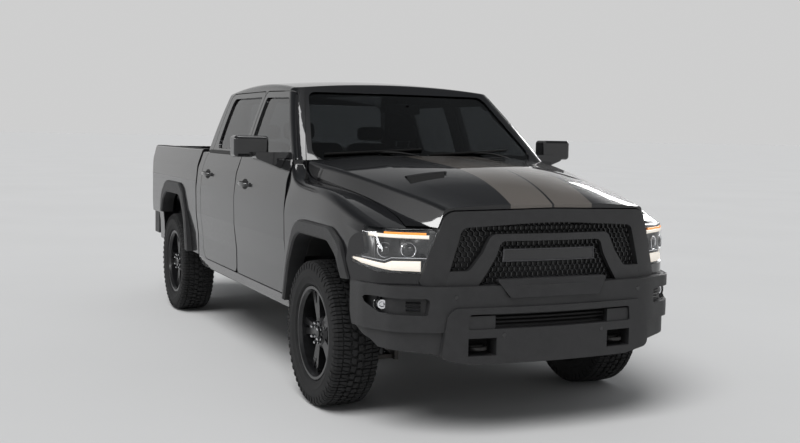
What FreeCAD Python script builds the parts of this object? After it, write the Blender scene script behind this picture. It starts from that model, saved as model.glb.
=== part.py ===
# A full-size crew-cab pickup truck, built as the real one is: a ladder frame carries a cab, a cargo
# bed and a front clip. Millimetres. X runs across the truck and +X is its left side, -Y is forward,
# +Z is up, and the origin is on the ground below the middle of the truck.

import FreeCAD, Part
import math
import os

from FreeCAD import Vector

os.makedirs("parts", exist_ok=True)

# Main sizes of the truck
LENGTH = 5817.0
WHEELBASE = 3569.0
FRONT_OVERHANG = 1020.0
TRACK_HALF = 868.0
FRONT_Y = -LENGTH / 2
REAR_Y = LENGTH / 2
FRONT_AXLE_Y = FRONT_Y + FRONT_OVERHANG
REAR_AXLE_Y = FRONT_AXLE_Y + WHEELBASE

# Clearances: a moving panel's gap, a fixed piece's seat, and a pin in its bore
GAP = 6.5
SEAT = 0.4
PIN_GAP = 0.3

# Cab
DOOR_FRONT_Y = -1355.0
DOOR_SPLIT_Y = -225.0
DOOR_REAR_Y = 742.0
CAB_FRONT_Y = DOOR_FRONT_Y - GAP + SEAT
CAB_REAR_Y = 885.0
DOOR_BOTTOM_Z = 560.0
BELT_Z = 1396.0
DOOR_TOP_Z = 1848.0
ROOF_TOP_Z = 1945.0
ROOF_CROWN_R = 6700.0
ROOF_CROWN_Y = -20.0
DOOR_THICK = 80.0
FRAME_THICK = 50.0
FLANGE_THICK = 36.0
FLANGE_LIP = 48.0
PILLAR_LIP = 3.0
GLASS_THICK = 5.0
GLASS_INSET = 14.0
FLOOR_Z = 610.0
FLOOR_THICK = 50.0
ROOF_SPLIT_X = 660.0

# Bed
BED_FRONT_Y = 910.0
BED_REAR_Y = 2756.0
BED_FLOOR_Z = 905.0
BED_RAIL_Z = 1412.0
BED_INNER_X = 843.0
BED_WALL = 50.0
WHEELHOUSE_X = 648.0
TAILGATE_X = 768.0
TAILGATE_THICK = 62.0

# Wheels
TYRE_R = 419.0
TYRE_W = 275.0
RIM_R = 254.0
RIM_W = 229.0
SPOKES = 5
LUG_CIRCLE_R = 69.85
KINGPIN_OFFSET = 60.0
KINGPIN_X = TRACK_HALF - KINGPIN_OFFSET

# Wheel arches
AXLES = {"front": FRONT_AXLE_Y, "rear": REAR_AXLE_Y}
FLARE_OUT_X = 1012.0
LINER_THICK = 8.0

# Nose
BUMPER_TOP_Z = 800.0
SURROUND_TOP_Z = 1186.0
CLIP_WALL = 30.0

# Ladder frame
RAIL_IN_X = 430.0
RAIL_OUT_X = 510.0
RAIL_HEIGHT = 150.0
RAIL_FRONT_Y = -2760.0
RAIL_REAR_Y = 2770.0


def limited(radius, before, after, turn):
    """The corner radius, no larger than its two sides leave room for."""
    half = math.tan(turn / 2)
    room = 0.48 * min(before, after)
    return min(radius, room / half) if half > 1e-9 else 0.0


def outline(points, place):
    """A closed wire through (u, v, corner radius) points, with each corner an arc."""
    count = len(points)
    legs = []
    for i, (u, v, radius) in enumerate(points):
        pu, pv, _ = points[i - 1]
        nu, nv, _ = points[(i + 1) % count]
        before = math.hypot(u - pu, v - pv)
        after = math.hypot(nu - u, nv - v)
        a = ((u - pu) / before, (v - pv) / before)
        b = ((nu - u) / after, (nv - v) / after)
        turn = math.acos(max(-1.0, min(1.0, a[0] * b[0] + a[1] * b[1])))
        r = limited(radius, before, after, turn)
        if r < 0.01:
            legs.append(((u, v), None, (u, v)))
            continue
        t = r * math.tan(turn / 2)
        start = (u - a[0] * t, v - a[1] * t)
        end = (u + b[0] * t, v + b[1] * t)
        bulge = r / math.cos(turn / 2) - r
        mu, mv = b[0] - a[0], b[1] - a[1]
        size = math.hypot(mu, mv)
        legs.append((start, (u + mu / size * bulge, v + mv / size * bulge), end))
    edges = []
    for i, (start, middle, end) in enumerate(legs):
        if middle is not None:
            edges.append(Part.Arc(place(*start), place(*middle), place(*end)).toShape())
        nxt = legs[(i + 1) % count][0]
        edges.append(Part.makeLine(place(*end), place(*nxt)))
    return Part.Wire(edges)


def on_xy(z):
    return lambda u, v: Vector(u, v, z)


def on_xz(y):
    return lambda u, v: Vector(u, y, v)


def on_yz(x):
    return lambda u, v: Vector(x, u, v)


PLANES = {"xy": (on_xy, Vector(0, 0, 1)), "xz": (on_xz, Vector(0, 1, 0)), "yz": (on_yz, Vector(1, 0, 0))}


def prism(points, plane, low, high):
    """A rounded outline on a plane, extruded from low to high along the plane's normal."""
    place, normal = PLANES[plane]
    return Part.Face(outline(points, place(low))).extrude(normal * (high - low))


def loft(sections, ruled=False):
    """A solid through wires that have the same number of edges."""
    return Part.makeLoft(sections, True, ruled)


def box(x0, x1, y0, y1, z0, z1):
    return Part.makeBox(x1 - x0, y1 - y0, z1 - z0, Vector(x0, y0, z0))


def rod(start, end, radius):
    """A round bar between two points."""
    run = Vector(*end) - Vector(*start)
    return Part.makeCylinder(radius, run.Length, Vector(*start), run)


def mirrored(shape):
    return shape.mirror(Vector(0, 0, 0), Vector(1, 0, 0))


def pair(shape):
    """The piece and its mirror image across the truck, as one compound."""
    return Part.makeCompound(solids(shape) + solids(mirrored(shape)))


def solids(shape):
    return [s for s in shape.Solids if s.Volume > 1000.0]


def main_solid(shape):
    """The largest solid of a result, without crumbs that a cut may leave."""
    return max(shape.Solids, key=lambda s: s.Volume)


def fused(pieces):
    whole = pieces[0].fuse(pieces[1:])
    return whole.removeSplitter()


def save(name, shape):
    found = solids(shape)
    body = found[0] if len(found) == 1 else Part.makeCompound(found)
    if not body.isValid():
        print("not valid:", name)
    body.exportStep("parts/" + name + ".step")


def save_both_sides(name, left):
    save(name + "_left", left)
    save(name + "_right", mirrored(left))


def two_sided(half):
    """A closed outline from its right half, given bottom to top, with the left half mirrored."""
    return half + [(-x, z, r) for x, z, r in reversed(half)]


# Body side, from sill to belt: x, z, corner radius. Doors, cab, bed and sills all follow it.
SIDE = [
    (930.0, 470.0, 12.0),
    (962.0, 552.0, 40.0),
    (966.0, 720.0, 300.0),
    (986.0, 905.0, 80.0),
    (990.0, 1100.0, 600.0),
    (972.0, 1270.0, 250.0),
    (928.0, BELT_Z, 12.0),
]


def cab_lower(inset, front, rear, bottom=None, top=None):
    """The cab below the belt, as deep as inset inside its skin."""
    half = [(x - inset, z, r) for x, z, r in SIDE]
    if bottom is not None:
        half[0] = (half[0][0], bottom, 0.0)
    if top is not None:
        half[-1] = (half[-1][0], top, 0.0)
    return prism(two_sided(half), "xz", front, rear)


def lerp(a, b, t):
    return a + (b - a) * t


# The glasshouse in plan at the belt and at the roof rail
GLASSHOUSE = {
    # name: (at the belt, at the roof rail)
    "half_width": (905.0, 738.0),
    "front_middle_y": (-1556.0, -868.0),
    "front_corner_y": (-1335.0, -776.0),
    "rear_y": (CAB_REAR_Y, 790.0),
    "front_corner_r": (95.0, 85.0),
    "rear_corner_r": (70.0, 70.0),
    "front_bow_r": (3000.0, 6000.0),
}
GLASSHOUSE_BELT_Z = 1390.0
GLASSHOUSE_RAIL_Z = 1870.0
GLASSHOUSE_SWELL = 9.0


def glasshouse_plan(z, inset):
    t = (z - GLASSHOUSE_BELT_Z) / (GLASSHOUSE_RAIL_Z - GLASSHOUSE_BELT_Z)
    at = {name: lerp(low, high, t) for name, (low, high) in GLASSHOUSE.items()}
    half = at["half_width"] + GLASSHOUSE_SWELL * 4 * t * (1 - t) - inset
    corner = at["front_corner_y"] + inset
    middle = at["front_middle_y"] + inset
    rear = at["rear_y"] - inset
    points = [
        (half, corner, max(at["front_corner_r"] - inset, 8.0)),
        (half, rear, max(at["rear_corner_r"] - inset, 8.0)),
        (-half, rear, max(at["rear_corner_r"] - inset, 8.0)),
        (-half, corner, max(at["front_corner_r"] - inset, 8.0)),
        (0.0, middle, at["front_bow_r"]),
    ]
    return outline(points, on_xy(z))


def glasshouse(inset, roof_drop, bottom=GLASSHOUSE_BELT_Z):
    """The cab above the belt: a tapered, rounded box under a crowned roof."""
    heights = (bottom, 1640.0, 1985.0)
    walls = loft([glasshouse_plan(z, inset) for z in heights])
    centre = Vector(0, ROOF_CROWN_Y, ROOF_TOP_Z - ROOF_CROWN_R)
    crown = Part.makeSphere(ROOF_CROWN_R - roof_drop, centre, Vector(0, 0, 1), 0, 90, 360)
    return walls.common(crown)


def cab_outer():
    top = glasshouse(0.0, 0.0)
    rim = [e for e in top.Edges if e.BoundBox.ZMin > 1800.0]
    top = top.makeFillet(46.0, rim)
    return fused([cab_lower(0.0, CAB_FRONT_Y, CAB_REAR_Y), top])


def cab_inner(door, frame, roof):
    """The space inside a wall of the given thicknesses, open downwards and to the front."""
    low = cab_lower(door, CAB_FRONT_Y - 100, CAB_REAR_Y - frame, 400.0, BELT_Z + 2)
    return low.fuse(glasshouse(frame, roof, BELT_Z - 40))


# Door outlines seen from the side: y, z, corner radius
FRONT_DOOR = [
    (DOOR_FRONT_Y, DOOR_BOTTOM_Z, 50.0),
    (DOOR_SPLIT_Y, DOOR_BOTTOM_Z, 50.0),
    (DOOR_SPLIT_Y - 3, DOOR_TOP_Z, 45.0),
    (-800.0, DOOR_TOP_Z - 12, 110.0),
    (-1296.0, 1404.0, 60.0),
    (DOOR_FRONT_Y, 1330.0, 60.0),
]
REAR_DOOR = [
    (DOOR_SPLIT_Y + GAP, DOOR_BOTTOM_Z, 50.0),
    (DOOR_REAR_Y, DOOR_BOTTOM_Z, 110.0),
    (DOOR_REAR_Y, 1345.0, 80.0),
    (680.0, 1460.0, 120.0),
    (655.0, DOOR_TOP_Z, 70.0),
    (DOOR_SPLIT_Y + GAP, DOOR_TOP_Z, 45.0),
]
FRONT_WINDOW = [
    (-1212.0, 1430.0, 30.0),
    (-280.0, 1430.0, 25.0),
    (-280.0, 1806.0, 25.0),
    (-790.0, 1796.0, 90.0),
]
REAR_WINDOW = [
    (-163.0, 1430.0, 25.0),
    (592.0, 1430.0, 60.0),
    (560.0, 1812.0, 60.0),
    (-163.0, 1812.0, 25.0),
]


def grown(points, by):
    """An outline moved outwards by a distance, or inwards if it is negative."""
    count = len(points)
    area = sum(
        points[i][0] * points[(i + 1) % count][1] - points[(i + 1) % count][0] * points[i][1]
        for i in range(count)
    )
    way = 1.0 if area > 0 else -1.0
    moved = []
    for i, (u, v, r) in enumerate(points):
        pu, pv, _ = points[i - 1]
        nu, nv, _ = points[(i + 1) % count]
        a = (u - pu, v - pv)
        b = (nu - u, nv - v)
        la, lb = math.hypot(*a), math.hypot(*b)
        na = (a[1] / la * way, -a[0] / la * way)
        nb = (b[1] / lb * way, -b[0] / lb * way)
        scale = by / (1 + na[0] * nb[0] + na[1] * nb[1])
        cross = (a[0] * b[1] - a[1] * b[0]) * way
        radius = max(r + by * (1 if cross > 0 else -1), 1.0) if r > 0 else 0.0
        moved.append((u + (na[0] + nb[0]) * scale, v + (na[1] + nb[1]) * scale, radius))
    return moved


def side_prism(points, inner_x=ROOF_SPLIT_X + 25, outer_x=1100.0):
    return prism(points, "yz", inner_x, outer_x)


# Hinges: each door turns on two pins that brackets on its pillar carry. A door is thin at its edges
# and its inner part steps back, which leaves room for it to swing.
HINGE_HEIGHTS = (880.0, 1180.0)
HINGE_X = 960.0
HINGE_BACK = 20.0
HINGE_PIN_R = 7.0
HINGE_PIN_HALF = 60.0
HINGE_WALL = 12.0
NOTCH_HALF = 36.0
NOTCH_OUT = 14.0
BRACKET_HALF = 26.0
BRACKET_THICK = 12.0
SWING_R = 42.0
EDGE_THICK = 12.0
EDGE_STEP = 12.0
HINGE_STEP = HINGE_BACK + 14.0


def upright(x, y, z0, z1, radius):
    return Part.makeCylinder(radius, z1 - z0, Vector(x, y, z0))


def inner_outline(points):
    """Where a door's thick inner part reaches: stepped back, and most along the hinge side."""
    lead_y = min(y for y, z, r in points)
    moved = grown(points, -EDGE_STEP)
    low = [(y, z, r) for y, z, r in moved]
    result = []
    for (y, z, r), (y0, z0, r0) in zip(low, points):
        if z0 < BELT_Z and y0 < lead_y + 30:
            y = lead_y + HINGE_STEP
        result.append((y, z, r))
    return result


def make_door(points, window, thin, skin):
    """A door from the cab's thin and thick skins, with its window cut and hinge notches and bores."""
    lead_y = min(y for y, z, r in points)
    pin_y = lead_y + HINGE_BACK
    edge = thin.common(side_prism(points))
    inner = skin.common(side_prism(inner_outline(points)))
    low, high = HINGE_HEIGHTS[0] - 130, HINGE_HEIGHTS[1] + 100
    strip = skin.common(side_prism(points)).common(
        box(HINGE_X - HINGE_WALL, 1100, lead_y - 5, pin_y + 40, low, high)
    )
    door = edge.fuse([inner, strip]).cut(side_prism(window))
    for z in HINGE_HEIGHTS:
        notch = box(800, HINGE_X + NOTCH_OUT, lead_y - 20, pin_y + 16, z - NOTCH_HALF, z + NOTCH_HALF)
        reach = HINGE_PIN_HALF + 3
        bore = upright(HINGE_X, pin_y, z - reach, z + reach, HINGE_PIN_R + PIN_GAP)
        door = door.cut([notch, bore])
    return main_solid(door)


def hinge_mounts(points):
    """The brackets that reach out from the pillar's flange, and their pins."""
    pin_y = min(y for y, z, r in points) + HINGE_BACK
    found = []
    for z in HINGE_HEIGHTS:
        pin = upright(HINGE_X, pin_y, z - HINGE_PIN_HALF, z + HINGE_PIN_HALF, HINGE_PIN_R)
        half = BRACKET_THICK / 2
        arm = box(885, HINGE_X, pin_y - half, pin_y + half, z - BRACKET_HALF, z + BRACKET_HALF)
        found.append(pin.fuse(arm))
    return found


def swing_relief(points, x=HINGE_X):
    """The round channel in a door's neighbour that its leading edge turns in."""
    pin_y = min(y for y, z, r in points) + HINGE_BACK
    return upright(x, pin_y, DOOR_BOTTOM_Z - GAP, BELT_Z + 20, SWING_R)


def build_cab():
    outer = cab_outer()
    behind_door = cab_inner(DOOR_THICK, FRAME_THICK, FRAME_THICK)
    behind_rebate = cab_inner(DOOR_THICK + GAP, FRAME_THICK + GAP, FRAME_THICK + GAP)
    cabin = cab_inner(
        DOOR_THICK + GAP + FLANGE_THICK, FRAME_THICK + GAP + FLANGE_THICK, FRAME_THICK + GAP + FLANGE_THICK
    )
    shell = outer.cut(cabin)
    skin = outer.cut(behind_door)

    windscreen_hole = [
        (-802.0, 1402.0, 50.0), (802.0, 1402.0, 50.0), (652.0, 1836.0, 70.0), (-652.0, 1836.0, 70.0),
    ]
    rear_hole = [
        (-620.0, 1420.0, 60.0), (620.0, 1420.0, 60.0), (575.0, 1790.0, 60.0), (-575.0, 1790.0, 60.0),
    ]
    front_cut = prism(windscreen_hole, "xz", -1800.0, -600.0)
    rear_cut = prism(rear_hole, "xz", 600.0, 1000.0)

    # Side frame: rebates for the doors, apertures through the flange behind them
    side = shell.common(box(ROOF_SPLIT_X, 1100, CAB_FRONT_Y, CAB_REAR_Y, 400, 2000))
    front_rebate = grown(FRONT_DOOR, GAP)
    front_rebate[0] = (CAB_FRONT_Y - 50, FRONT_DOOR[0][1] - GAP, 0.0)
    front_rebate[5] = (CAB_FRONT_Y - 50, 1330.0, 0.0)
    front_rebate.append((CAB_FRONT_Y - 50, 1000.0, 0.0))
    rebates = [front_rebate, grown(REAR_DOOR, GAP)]
    for points in rebates:
        side = side.cut(side_prism(points).cut(behind_rebate))
    for points in (FRONT_DOOR, REAR_DOOR):
        side = side.cut(side_prism(grown(points, -FLANGE_LIP)))
    # The front door's upper corner swings back as it opens, so the A-pillar has next to no flange
    pillar_edge = box(ROOF_SPLIT_X, 1100, DOOR_FRONT_Y, DOOR_FRONT_Y + 540, BELT_Z - 4, DOOR_TOP_Z - 50)
    side = side.cut(side_prism(grown(FRONT_DOOR, -PILLAR_LIP)).common(pillar_edge))
    side = main_solid(side.cut(front_cut))

    thin = outer.cut(cab_inner(EDGE_THICK, EDGE_THICK, EDGE_THICK))
    front_door = make_door(FRONT_DOOR, FRONT_WINDOW, thin, skin)
    front_door = main_solid(front_door.cut(swing_relief(REAR_DOOR)))
    rear_door = make_door(REAR_DOOR, REAR_WINDOW, thin, skin)
    side = side.cut([swing_relief(FRONT_DOOR), swing_relief(REAR_DOOR)])
    side = side.fuse(hinge_mounts(FRONT_DOOR) + hinge_mounts(REAR_DOOR))
    save_both_sides("cab_side", main_solid(side.removeSplitter()))

    roof_zone = box(-ROOF_SPLIT_X, ROOF_SPLIT_X, -1300, CAB_REAR_Y, 1790, 2000)
    save("cab_roof", main_solid(shell.common(roof_zone).cut(front_cut)))
    back_zone = box(-ROOF_SPLIT_X, ROOF_SPLIT_X, 600, CAB_REAR_Y + 5, FLOOR_Z, 1790)
    save("cab_back", main_solid(shell.common(back_zone).cut(rear_cut)))

    # Glass: a thin shell of the glasshouse, cut to each opening
    sheet = glasshouse(GLASS_INSET, 0.0, BELT_Z + 4).cut(
        glasshouse(GLASS_INSET + GLASS_THICK, 0.0, BELT_Z)
    )
    screen = sheet.common(prism(grown(windscreen_hole, -SEAT), "xz", -1800.0, -600.0))
    rear = sheet.common(prism(grown(rear_hole, -SEAT), "xz", 600.0, 1000.0))
    save("cab_glass", Part.makeCompound([main_solid(screen), main_solid(rear)]))
    for name, door, window in (
        ("front", front_door, FRONT_WINDOW), ("rear", rear_door, REAR_WINDOW),
    ):
        save_both_sides("door_" + name, door)
        pane = sheet.common(side_prism(grown(window, -SEAT)))
        save_both_sides("door_glass_" + name, main_solid(pane))

    # Floor pan with its tunnel
    pan = [
        (-1000.0, FLOOR_Z, 0.0), (1000.0, FLOOR_Z, 0.0), (1000.0, FLOOR_Z + FLOOR_THICK, 0.0),
        (TUNNEL_X + 40, FLOOR_Z + FLOOR_THICK, 30.0), (TUNNEL_X, TUNNEL_Z, 50.0),
        (-TUNNEL_X, TUNNEL_Z, 50.0), (-TUNNEL_X - 40, FLOOR_Z + FLOOR_THICK, 30.0),
        (-1000.0, FLOOR_Z + FLOOR_THICK, 0.0),
    ]
    save("cab_floor", prism(pan, "xz", FIREWALL_Y + SEAT, CABIN_REAR_Y).common(cabin_space()))


CABIN_INSET = DOOR_THICK + GAP + FLANGE_THICK
CABIN_REAR_Y = CAB_REAR_Y - FRAME_THICK - GAP - FLANGE_THICK - SEAT
FIREWALL_Y = CAB_FRONT_Y + 26
TUNNEL_X = 150.0
TUNNEL_Z = 760.0


def cabin_space():
    """The room between the cab's side walls, less a seat."""
    return cab_lower(CABIN_INSET + SEAT, CAB_FRONT_Y, CABIN_REAR_Y, 300.0)


# Nose sections from rear to front: y, then x, z, corner radius from the sill up to the middle
NOSE = [
    (-1352.0, [(964, 470, 0), (986, 905, 80), (990, 1100, 500), (934, 1382, 40), (866, 1378, 8),
               (850, 1394, 12), (480, 1432, 1500)], 1440.0),
    (-1500.0, [(964, 470, 0), (986, 905, 80), (990, 1100, 500), (960, 1292, 50), (858, 1296, 8),
               (836, 1380, 28), (470, 1426, 1500)], 1436.0),
    (-1900.0, [(960, 470, 0), (986, 905, 80), (990, 1090, 300), (962, 1262, 60), (792, 1240, 8),
               (757, 1331, 28), (430, 1392, 1500)], 1420.0),
    (-2300.0, [(960, 470, 0), (986, 905, 80), (982, 1050, 300), (944, 1178, 60), (724, 1170, 8),
               (686, 1272, 28), (390, 1360, 1500)], 1389.0),
    (-2600.0, [(950, 470, 0), (972, 880, 80), (954, 990, 200), (888, 1092, 60), (674, 1112, 8),
               (636, 1228, 28), (360, 1300, 1500)], 1328.0),
    (-2880.0, [(940, 470, 0), (960, 860, 80), (938, 925, 200), (850, 1026, 60), (630, 1054, 8),
               (598, 1172, 28), (330, 1192, 1500)], 1196.0),
]
NOSE_REAR_Y = DOOR_FRONT_Y - GAP
NOSE_PLAN = [
    (1012.0, NOSE_REAR_Y, 0.0), (1012.0, -2310.0, 300.0), (885.0, -2660.0, 260.0),
    (620.0, -2800.0, 500.0), (0.0, -2866.0, 3000.0), (-620.0, -2800.0, 500.0),
    (-885.0, -2660.0, 260.0), (-1012.0, -2310.0, 300.0), (-1012.0, NOSE_REAR_Y, 0.0),
]
HOOD_HALF = [(857.0, -1496.0), (821.0, -1710.0), (783.0, -1935.0), (747.0, -2147.0), (724.0, -2330.0),
             (728.0, -2480.0), (754.0, -2640.0), (780.0, -2790.0)]
HOOD_EDGE_Z = 1096.0
HOOD_REAR_Y = (-1398.0, -1590.0)
HOOD_HINGE = (-1440.0, 1345.0)
HOOD_PIN_R = 8.0


VENT = [(336.0, -2270.0, 16.0), (400.0, -2395.0, 16.0), (590.0, -2330.0, 16.0), (552.0, -2165.0, 16.0)]
VENT_DEPTH = 14.0


def both_ways(points):
    """An outline and its mirror image across the truck."""
    return [points, [(-u, v, r) for u, v, r in points]]


def nose(inset):
    """The closed form of hood and fenders, as deep as inset inside its skin."""
    sections = []
    for y, half, middle in NOSE:
        whole = two_sided([tuple(map(float, p)) for p in half])
        whole.insert(len(half), (0.0, middle, 4000.0))
        if inset:
            whole = grown(whole, -inset)
            whole[0] = (whole[0][0], 400.0, 0.0)
            whole[-1] = (whole[-1][0], 400.0, 0.0)
        sections.append(outline(whole, on_xz(y)))
    plan = NOSE_PLAN if not inset else grown(NOSE_PLAN, -inset)
    return loft(sections).common(prism(plan, "xy", 380.0, 1500.0))


def hood_outline(by):
    half = [(x + by, y) for x, y in HOOD_HALF]
    rear_side, rear_middle = HOOD_REAR_Y
    front = -2900.0
    right = [(857.0 + by, rear_side + by, 30.0)] + [(x, y, 200.0) for x, y in half]
    right.append((half[-1][0] - 20.0, front, 0.0))
    left = [(-x, y, r) for x, y, r in reversed(right)]
    return right + left + [(0.0, rear_middle + by, 1500.0)]


SURROUND = [(733.0, 800.0, 20.0), (604.0, 1178.0, 70.0), (0.0, 1192.0, 3000.0), (-604.0, 1178.0, 70.0),
            (-733.0, 800.0, 20.0)]
SURROUND_HOLE = [(610.0, 780.0, 0.0), (520.0, 1096.0, 40.0), (0.0, 1126.0, 3000.0),
                 (-520.0, 1096.0, 40.0), (-610.0, 780.0, 0.0)]
LAMP_FRONT = [(690.0, 860.0, 0.0), (1060.0, 860.0, 0.0), (1060.0, 1090.0, 0.0), (610.0, 1086.0, 0.0)]
LAMP_SIDE = [(-3000.0, 850.0, 0.0), (-2630.0, 858.0, 0.0), (-2446.0, 894.0, 14.0), (-2424.0, 922.0, 8.0),
             (-2530.0, 950.0, 24.0), (-2520.0, 1010.0, 60.0), (-2490.0, 1110.0, 0.0), (-3000.0, 1110.0, 0.0)]
LAMP_DEPTH = 90.0

# Flare outlines: the outer line, then the wheel opening, as distance behind the axle, z, corner radius
FLARES = {
    "front": (
        [(-531.5, 800.0, 0.0), (-463.5, 975.0, 150.0), (-301.5, 1058.0, 180.0),
         (288.5, 1058.0, 190.0), (426.5, 800.0, 300.0), (496.5, 540.0, 0.0)],
        [(-477.5, 800.0, 0.0), (-411.5, 905.0, 140.0), (-271.5, 978.0, 170.0),
         (258.5, 978.0, 180.0), (383.5, 780.0, 300.0), (458.5, 540.0, 0.0)],
    ),
    "rear": (
        [(-545.5, 566.0, 0.0), (-465.5, 860.0, 300.0), (-300.5, 1118.0, 180.0),
         (279.5, 1118.0, 190.0), (459.5, 1000.0, 200.0), (509.5, 820.0, 0.0)],
        [(-485.5, 566.0, 0.0), (-418.5, 830.0, 300.0), (-268.5, 1016.0, 170.0),
         (259.5, 1016.0, 180.0), (399.5, 935.0, 170.0), (444.5, 820.0, 0.0)],
    ),
}


def arch(name, which, by=0.0, floor=380.0):
    """The wheel opening (which=1) or its flare's outline (which=0), run on down to floor."""
    points = [(AXLES[name] + y, z, r) for y, z, r in FLARES[name][which]]
    closed = [(points[0][0], floor, 0.0)] + points + [(points[-1][0], floor, 0.0)]
    moved = grown(closed, by) if by else closed
    return moved


def build_nose():
    outer = nose(0.0)
    shell = outer.cut(nose(CLIP_WALL))
    shell = shell.cut(box(-900, 900, -1700, NOSE_REAR_Y + 50, 380, 1250))
    surround_zone = prism(grown(SURROUND, SEAT), "xz", -3000.0, -2600.0)

    hood_zone = prism(hood_outline(0.0), "xy", 1000.0, 1500.0)
    hood = shell.common(hood_zone).cut(prism(grown(SURROUND, GAP), "xz", -3000.0, -2600.0))
    hood = main_solid(hood.cut(box(-1100, 1100, -3000, -2400, 900, HOOD_EDGE_Z)))
    scoop = outer.cut(nose(VENT_DEPTH))
    for points in both_ways(VENT):
        hood = hood.cut(scoop.common(prism(points, "xy", 1100.0, 1500.0)))
    lug_y, lug_z = HOOD_HINGE
    lug = box(780, 800, lug_y - 16, lug_y + 16, lug_z, lug_z + 80).common(outer)
    lug = lug.fuse(rod((780, lug_y, lug_z), (800, lug_y, lug_z), 16.0))
    bore = rod((770, lug_y, lug_z), (810, lug_y, lug_z), HOOD_PIN_R + PIN_GAP)
    lug = lug.cut(bore)
    save("hood", main_solid(fused([hood, lug, mirrored(lug)])))

    side = shell.cut([
        prism(hood_outline(GAP), "xy", 1000.0, 1500.0),
        surround_zone,
        box(-1100, 1100, -3000, -2404, 380, BUMPER_TOP_Z),
        box(-1100, 1100, -3000, -1350, 380, DOOR_BOTTOM_Z),
        box(-600, 600, -3000, -1350, 380, 1250),
    ])
    side = side.common(box(0, 1100, -3000, -1300, 380, 1500))
    side = side.cut(box(0, HOOD_HALF[0][0] + GAP, HOOD_HALF[0][1], -1300, 900, 1500))
    flare_cut = prism(arch("front", 0, SEAT), "yz", 600.0, 1100.0)
    lamp_zone = prism(LAMP_FRONT, "xz", -3000.0, -2400.0).common(prism(LAMP_SIDE, "yz", 400.0, 1100.0))
    lamp = outer.cut(nose(LAMP_DEPTH)).common(lamp_zone).cut(surround_zone)
    seat = prism(grown(LAMP_FRONT, SEAT), "xz", -3000.0, -2400.0).common(
        prism(grown(LAMP_SIDE, SEAT), "yz", 400.0, 1100.0)
    )
    fender = side.cut([flare_cut, seat, swing_relief(FRONT_DOOR)])
    fender = main_solid(fender)
    save_both_sides("fender", fender)
    save("headlamps", pair(main_solid(lamp)))

    face = prism(grown(NOSE_PLAN[1:-1], 14.0), "xy", 700.0, 1300.0)
    back = prism(grown(NOSE_PLAN[1:-1], -75.0), "xy", 690.0, 1310.0)
    band = face.cut(back)
    ring = prism(SURROUND, "xz", -3000.0, -2600.0).cut(prism(SURROUND_HOLE, "xz", -3010.0, -2590.0))
    save("grille_surround", main_solid(band.common(ring)))
    sheet = prism(grown(NOSE_PLAN[1:-1], -30.0), "xy", 700.0, 1300.0).cut(back)
    mesh = sheet.common(prism(grown(SURROUND_HOLE, -SEAT), "xz", -3000.0, -2600.0))
    half = [(432.0, 790.0, 0.0), (700.0, 790.0, 0.0), (700.0, 874.0, 0.0), (478.0, 874.0, 40.0),
            (408.0, 962.0, 80.0), (358.0, 1063.0, 50.0)]
    under = [(-304.0, 1026.0, 36.0), (-330.0, 950.0, 80.0), (-378.0, 868.0, 60.0)]
    bar_out = half + [(-x, z, r) for x, z, r in reversed(half)]
    bar_out = bar_out + list(reversed([(x, z, r) for x, z, r in under])) + [(-x, z, r) for x, z, r in under]
    bar = band.common(prism(bar_out, "xz", -3000.0, -2600.0))
    bar = bar.common(prism(grown(SURROUND_HOLE, -SEAT), "xz", -3000.0, -2600.0))
    insert = fused([main_solid(mesh), main_solid(bar)])
    save("grille_insert", main_solid(insert.common(box(-1000, 1000, -3000, -2500, BUMPER_TOP_Z, 1300))))


BUMPER_PLAN = [
    (994.0, -2404.0, 0.0), (970.0, -2540.0, 160.0), (868.0, -2752.0, 200.0), (640.0, -2860.0, 400.0),
    (0.0, -2922.0, 3000.0), (-640.0, -2860.0, 400.0), (-868.0, -2752.0, 200.0), (-970.0, -2540.0, 160.0),
    (-994.0, -2404.0, 0.0),
]


def bumper_slab(inset, z0, z1):
    """The bumper's plan, as deep as inset inside its face and open to the rear."""
    plan = [(x, y if y < -2405 else -2100.0, r) for x, y, r in BUMPER_PLAN]
    return prism(grown(plan, -inset), "xy", z0, z1)


FOG_HOLE = [(700.0, 652.0, 14.0), (690.0, 738.0, 20.0), (955.0, 738.0, 14.0), (944.0, 700.0, 20.0),
            (900.0, 654.0, 30.0)]
TOW_X, TOW_Z, TOW_HALF_X, TOW_HALF_Z = 419.0, 487.0, 78.0, 46.0


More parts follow.
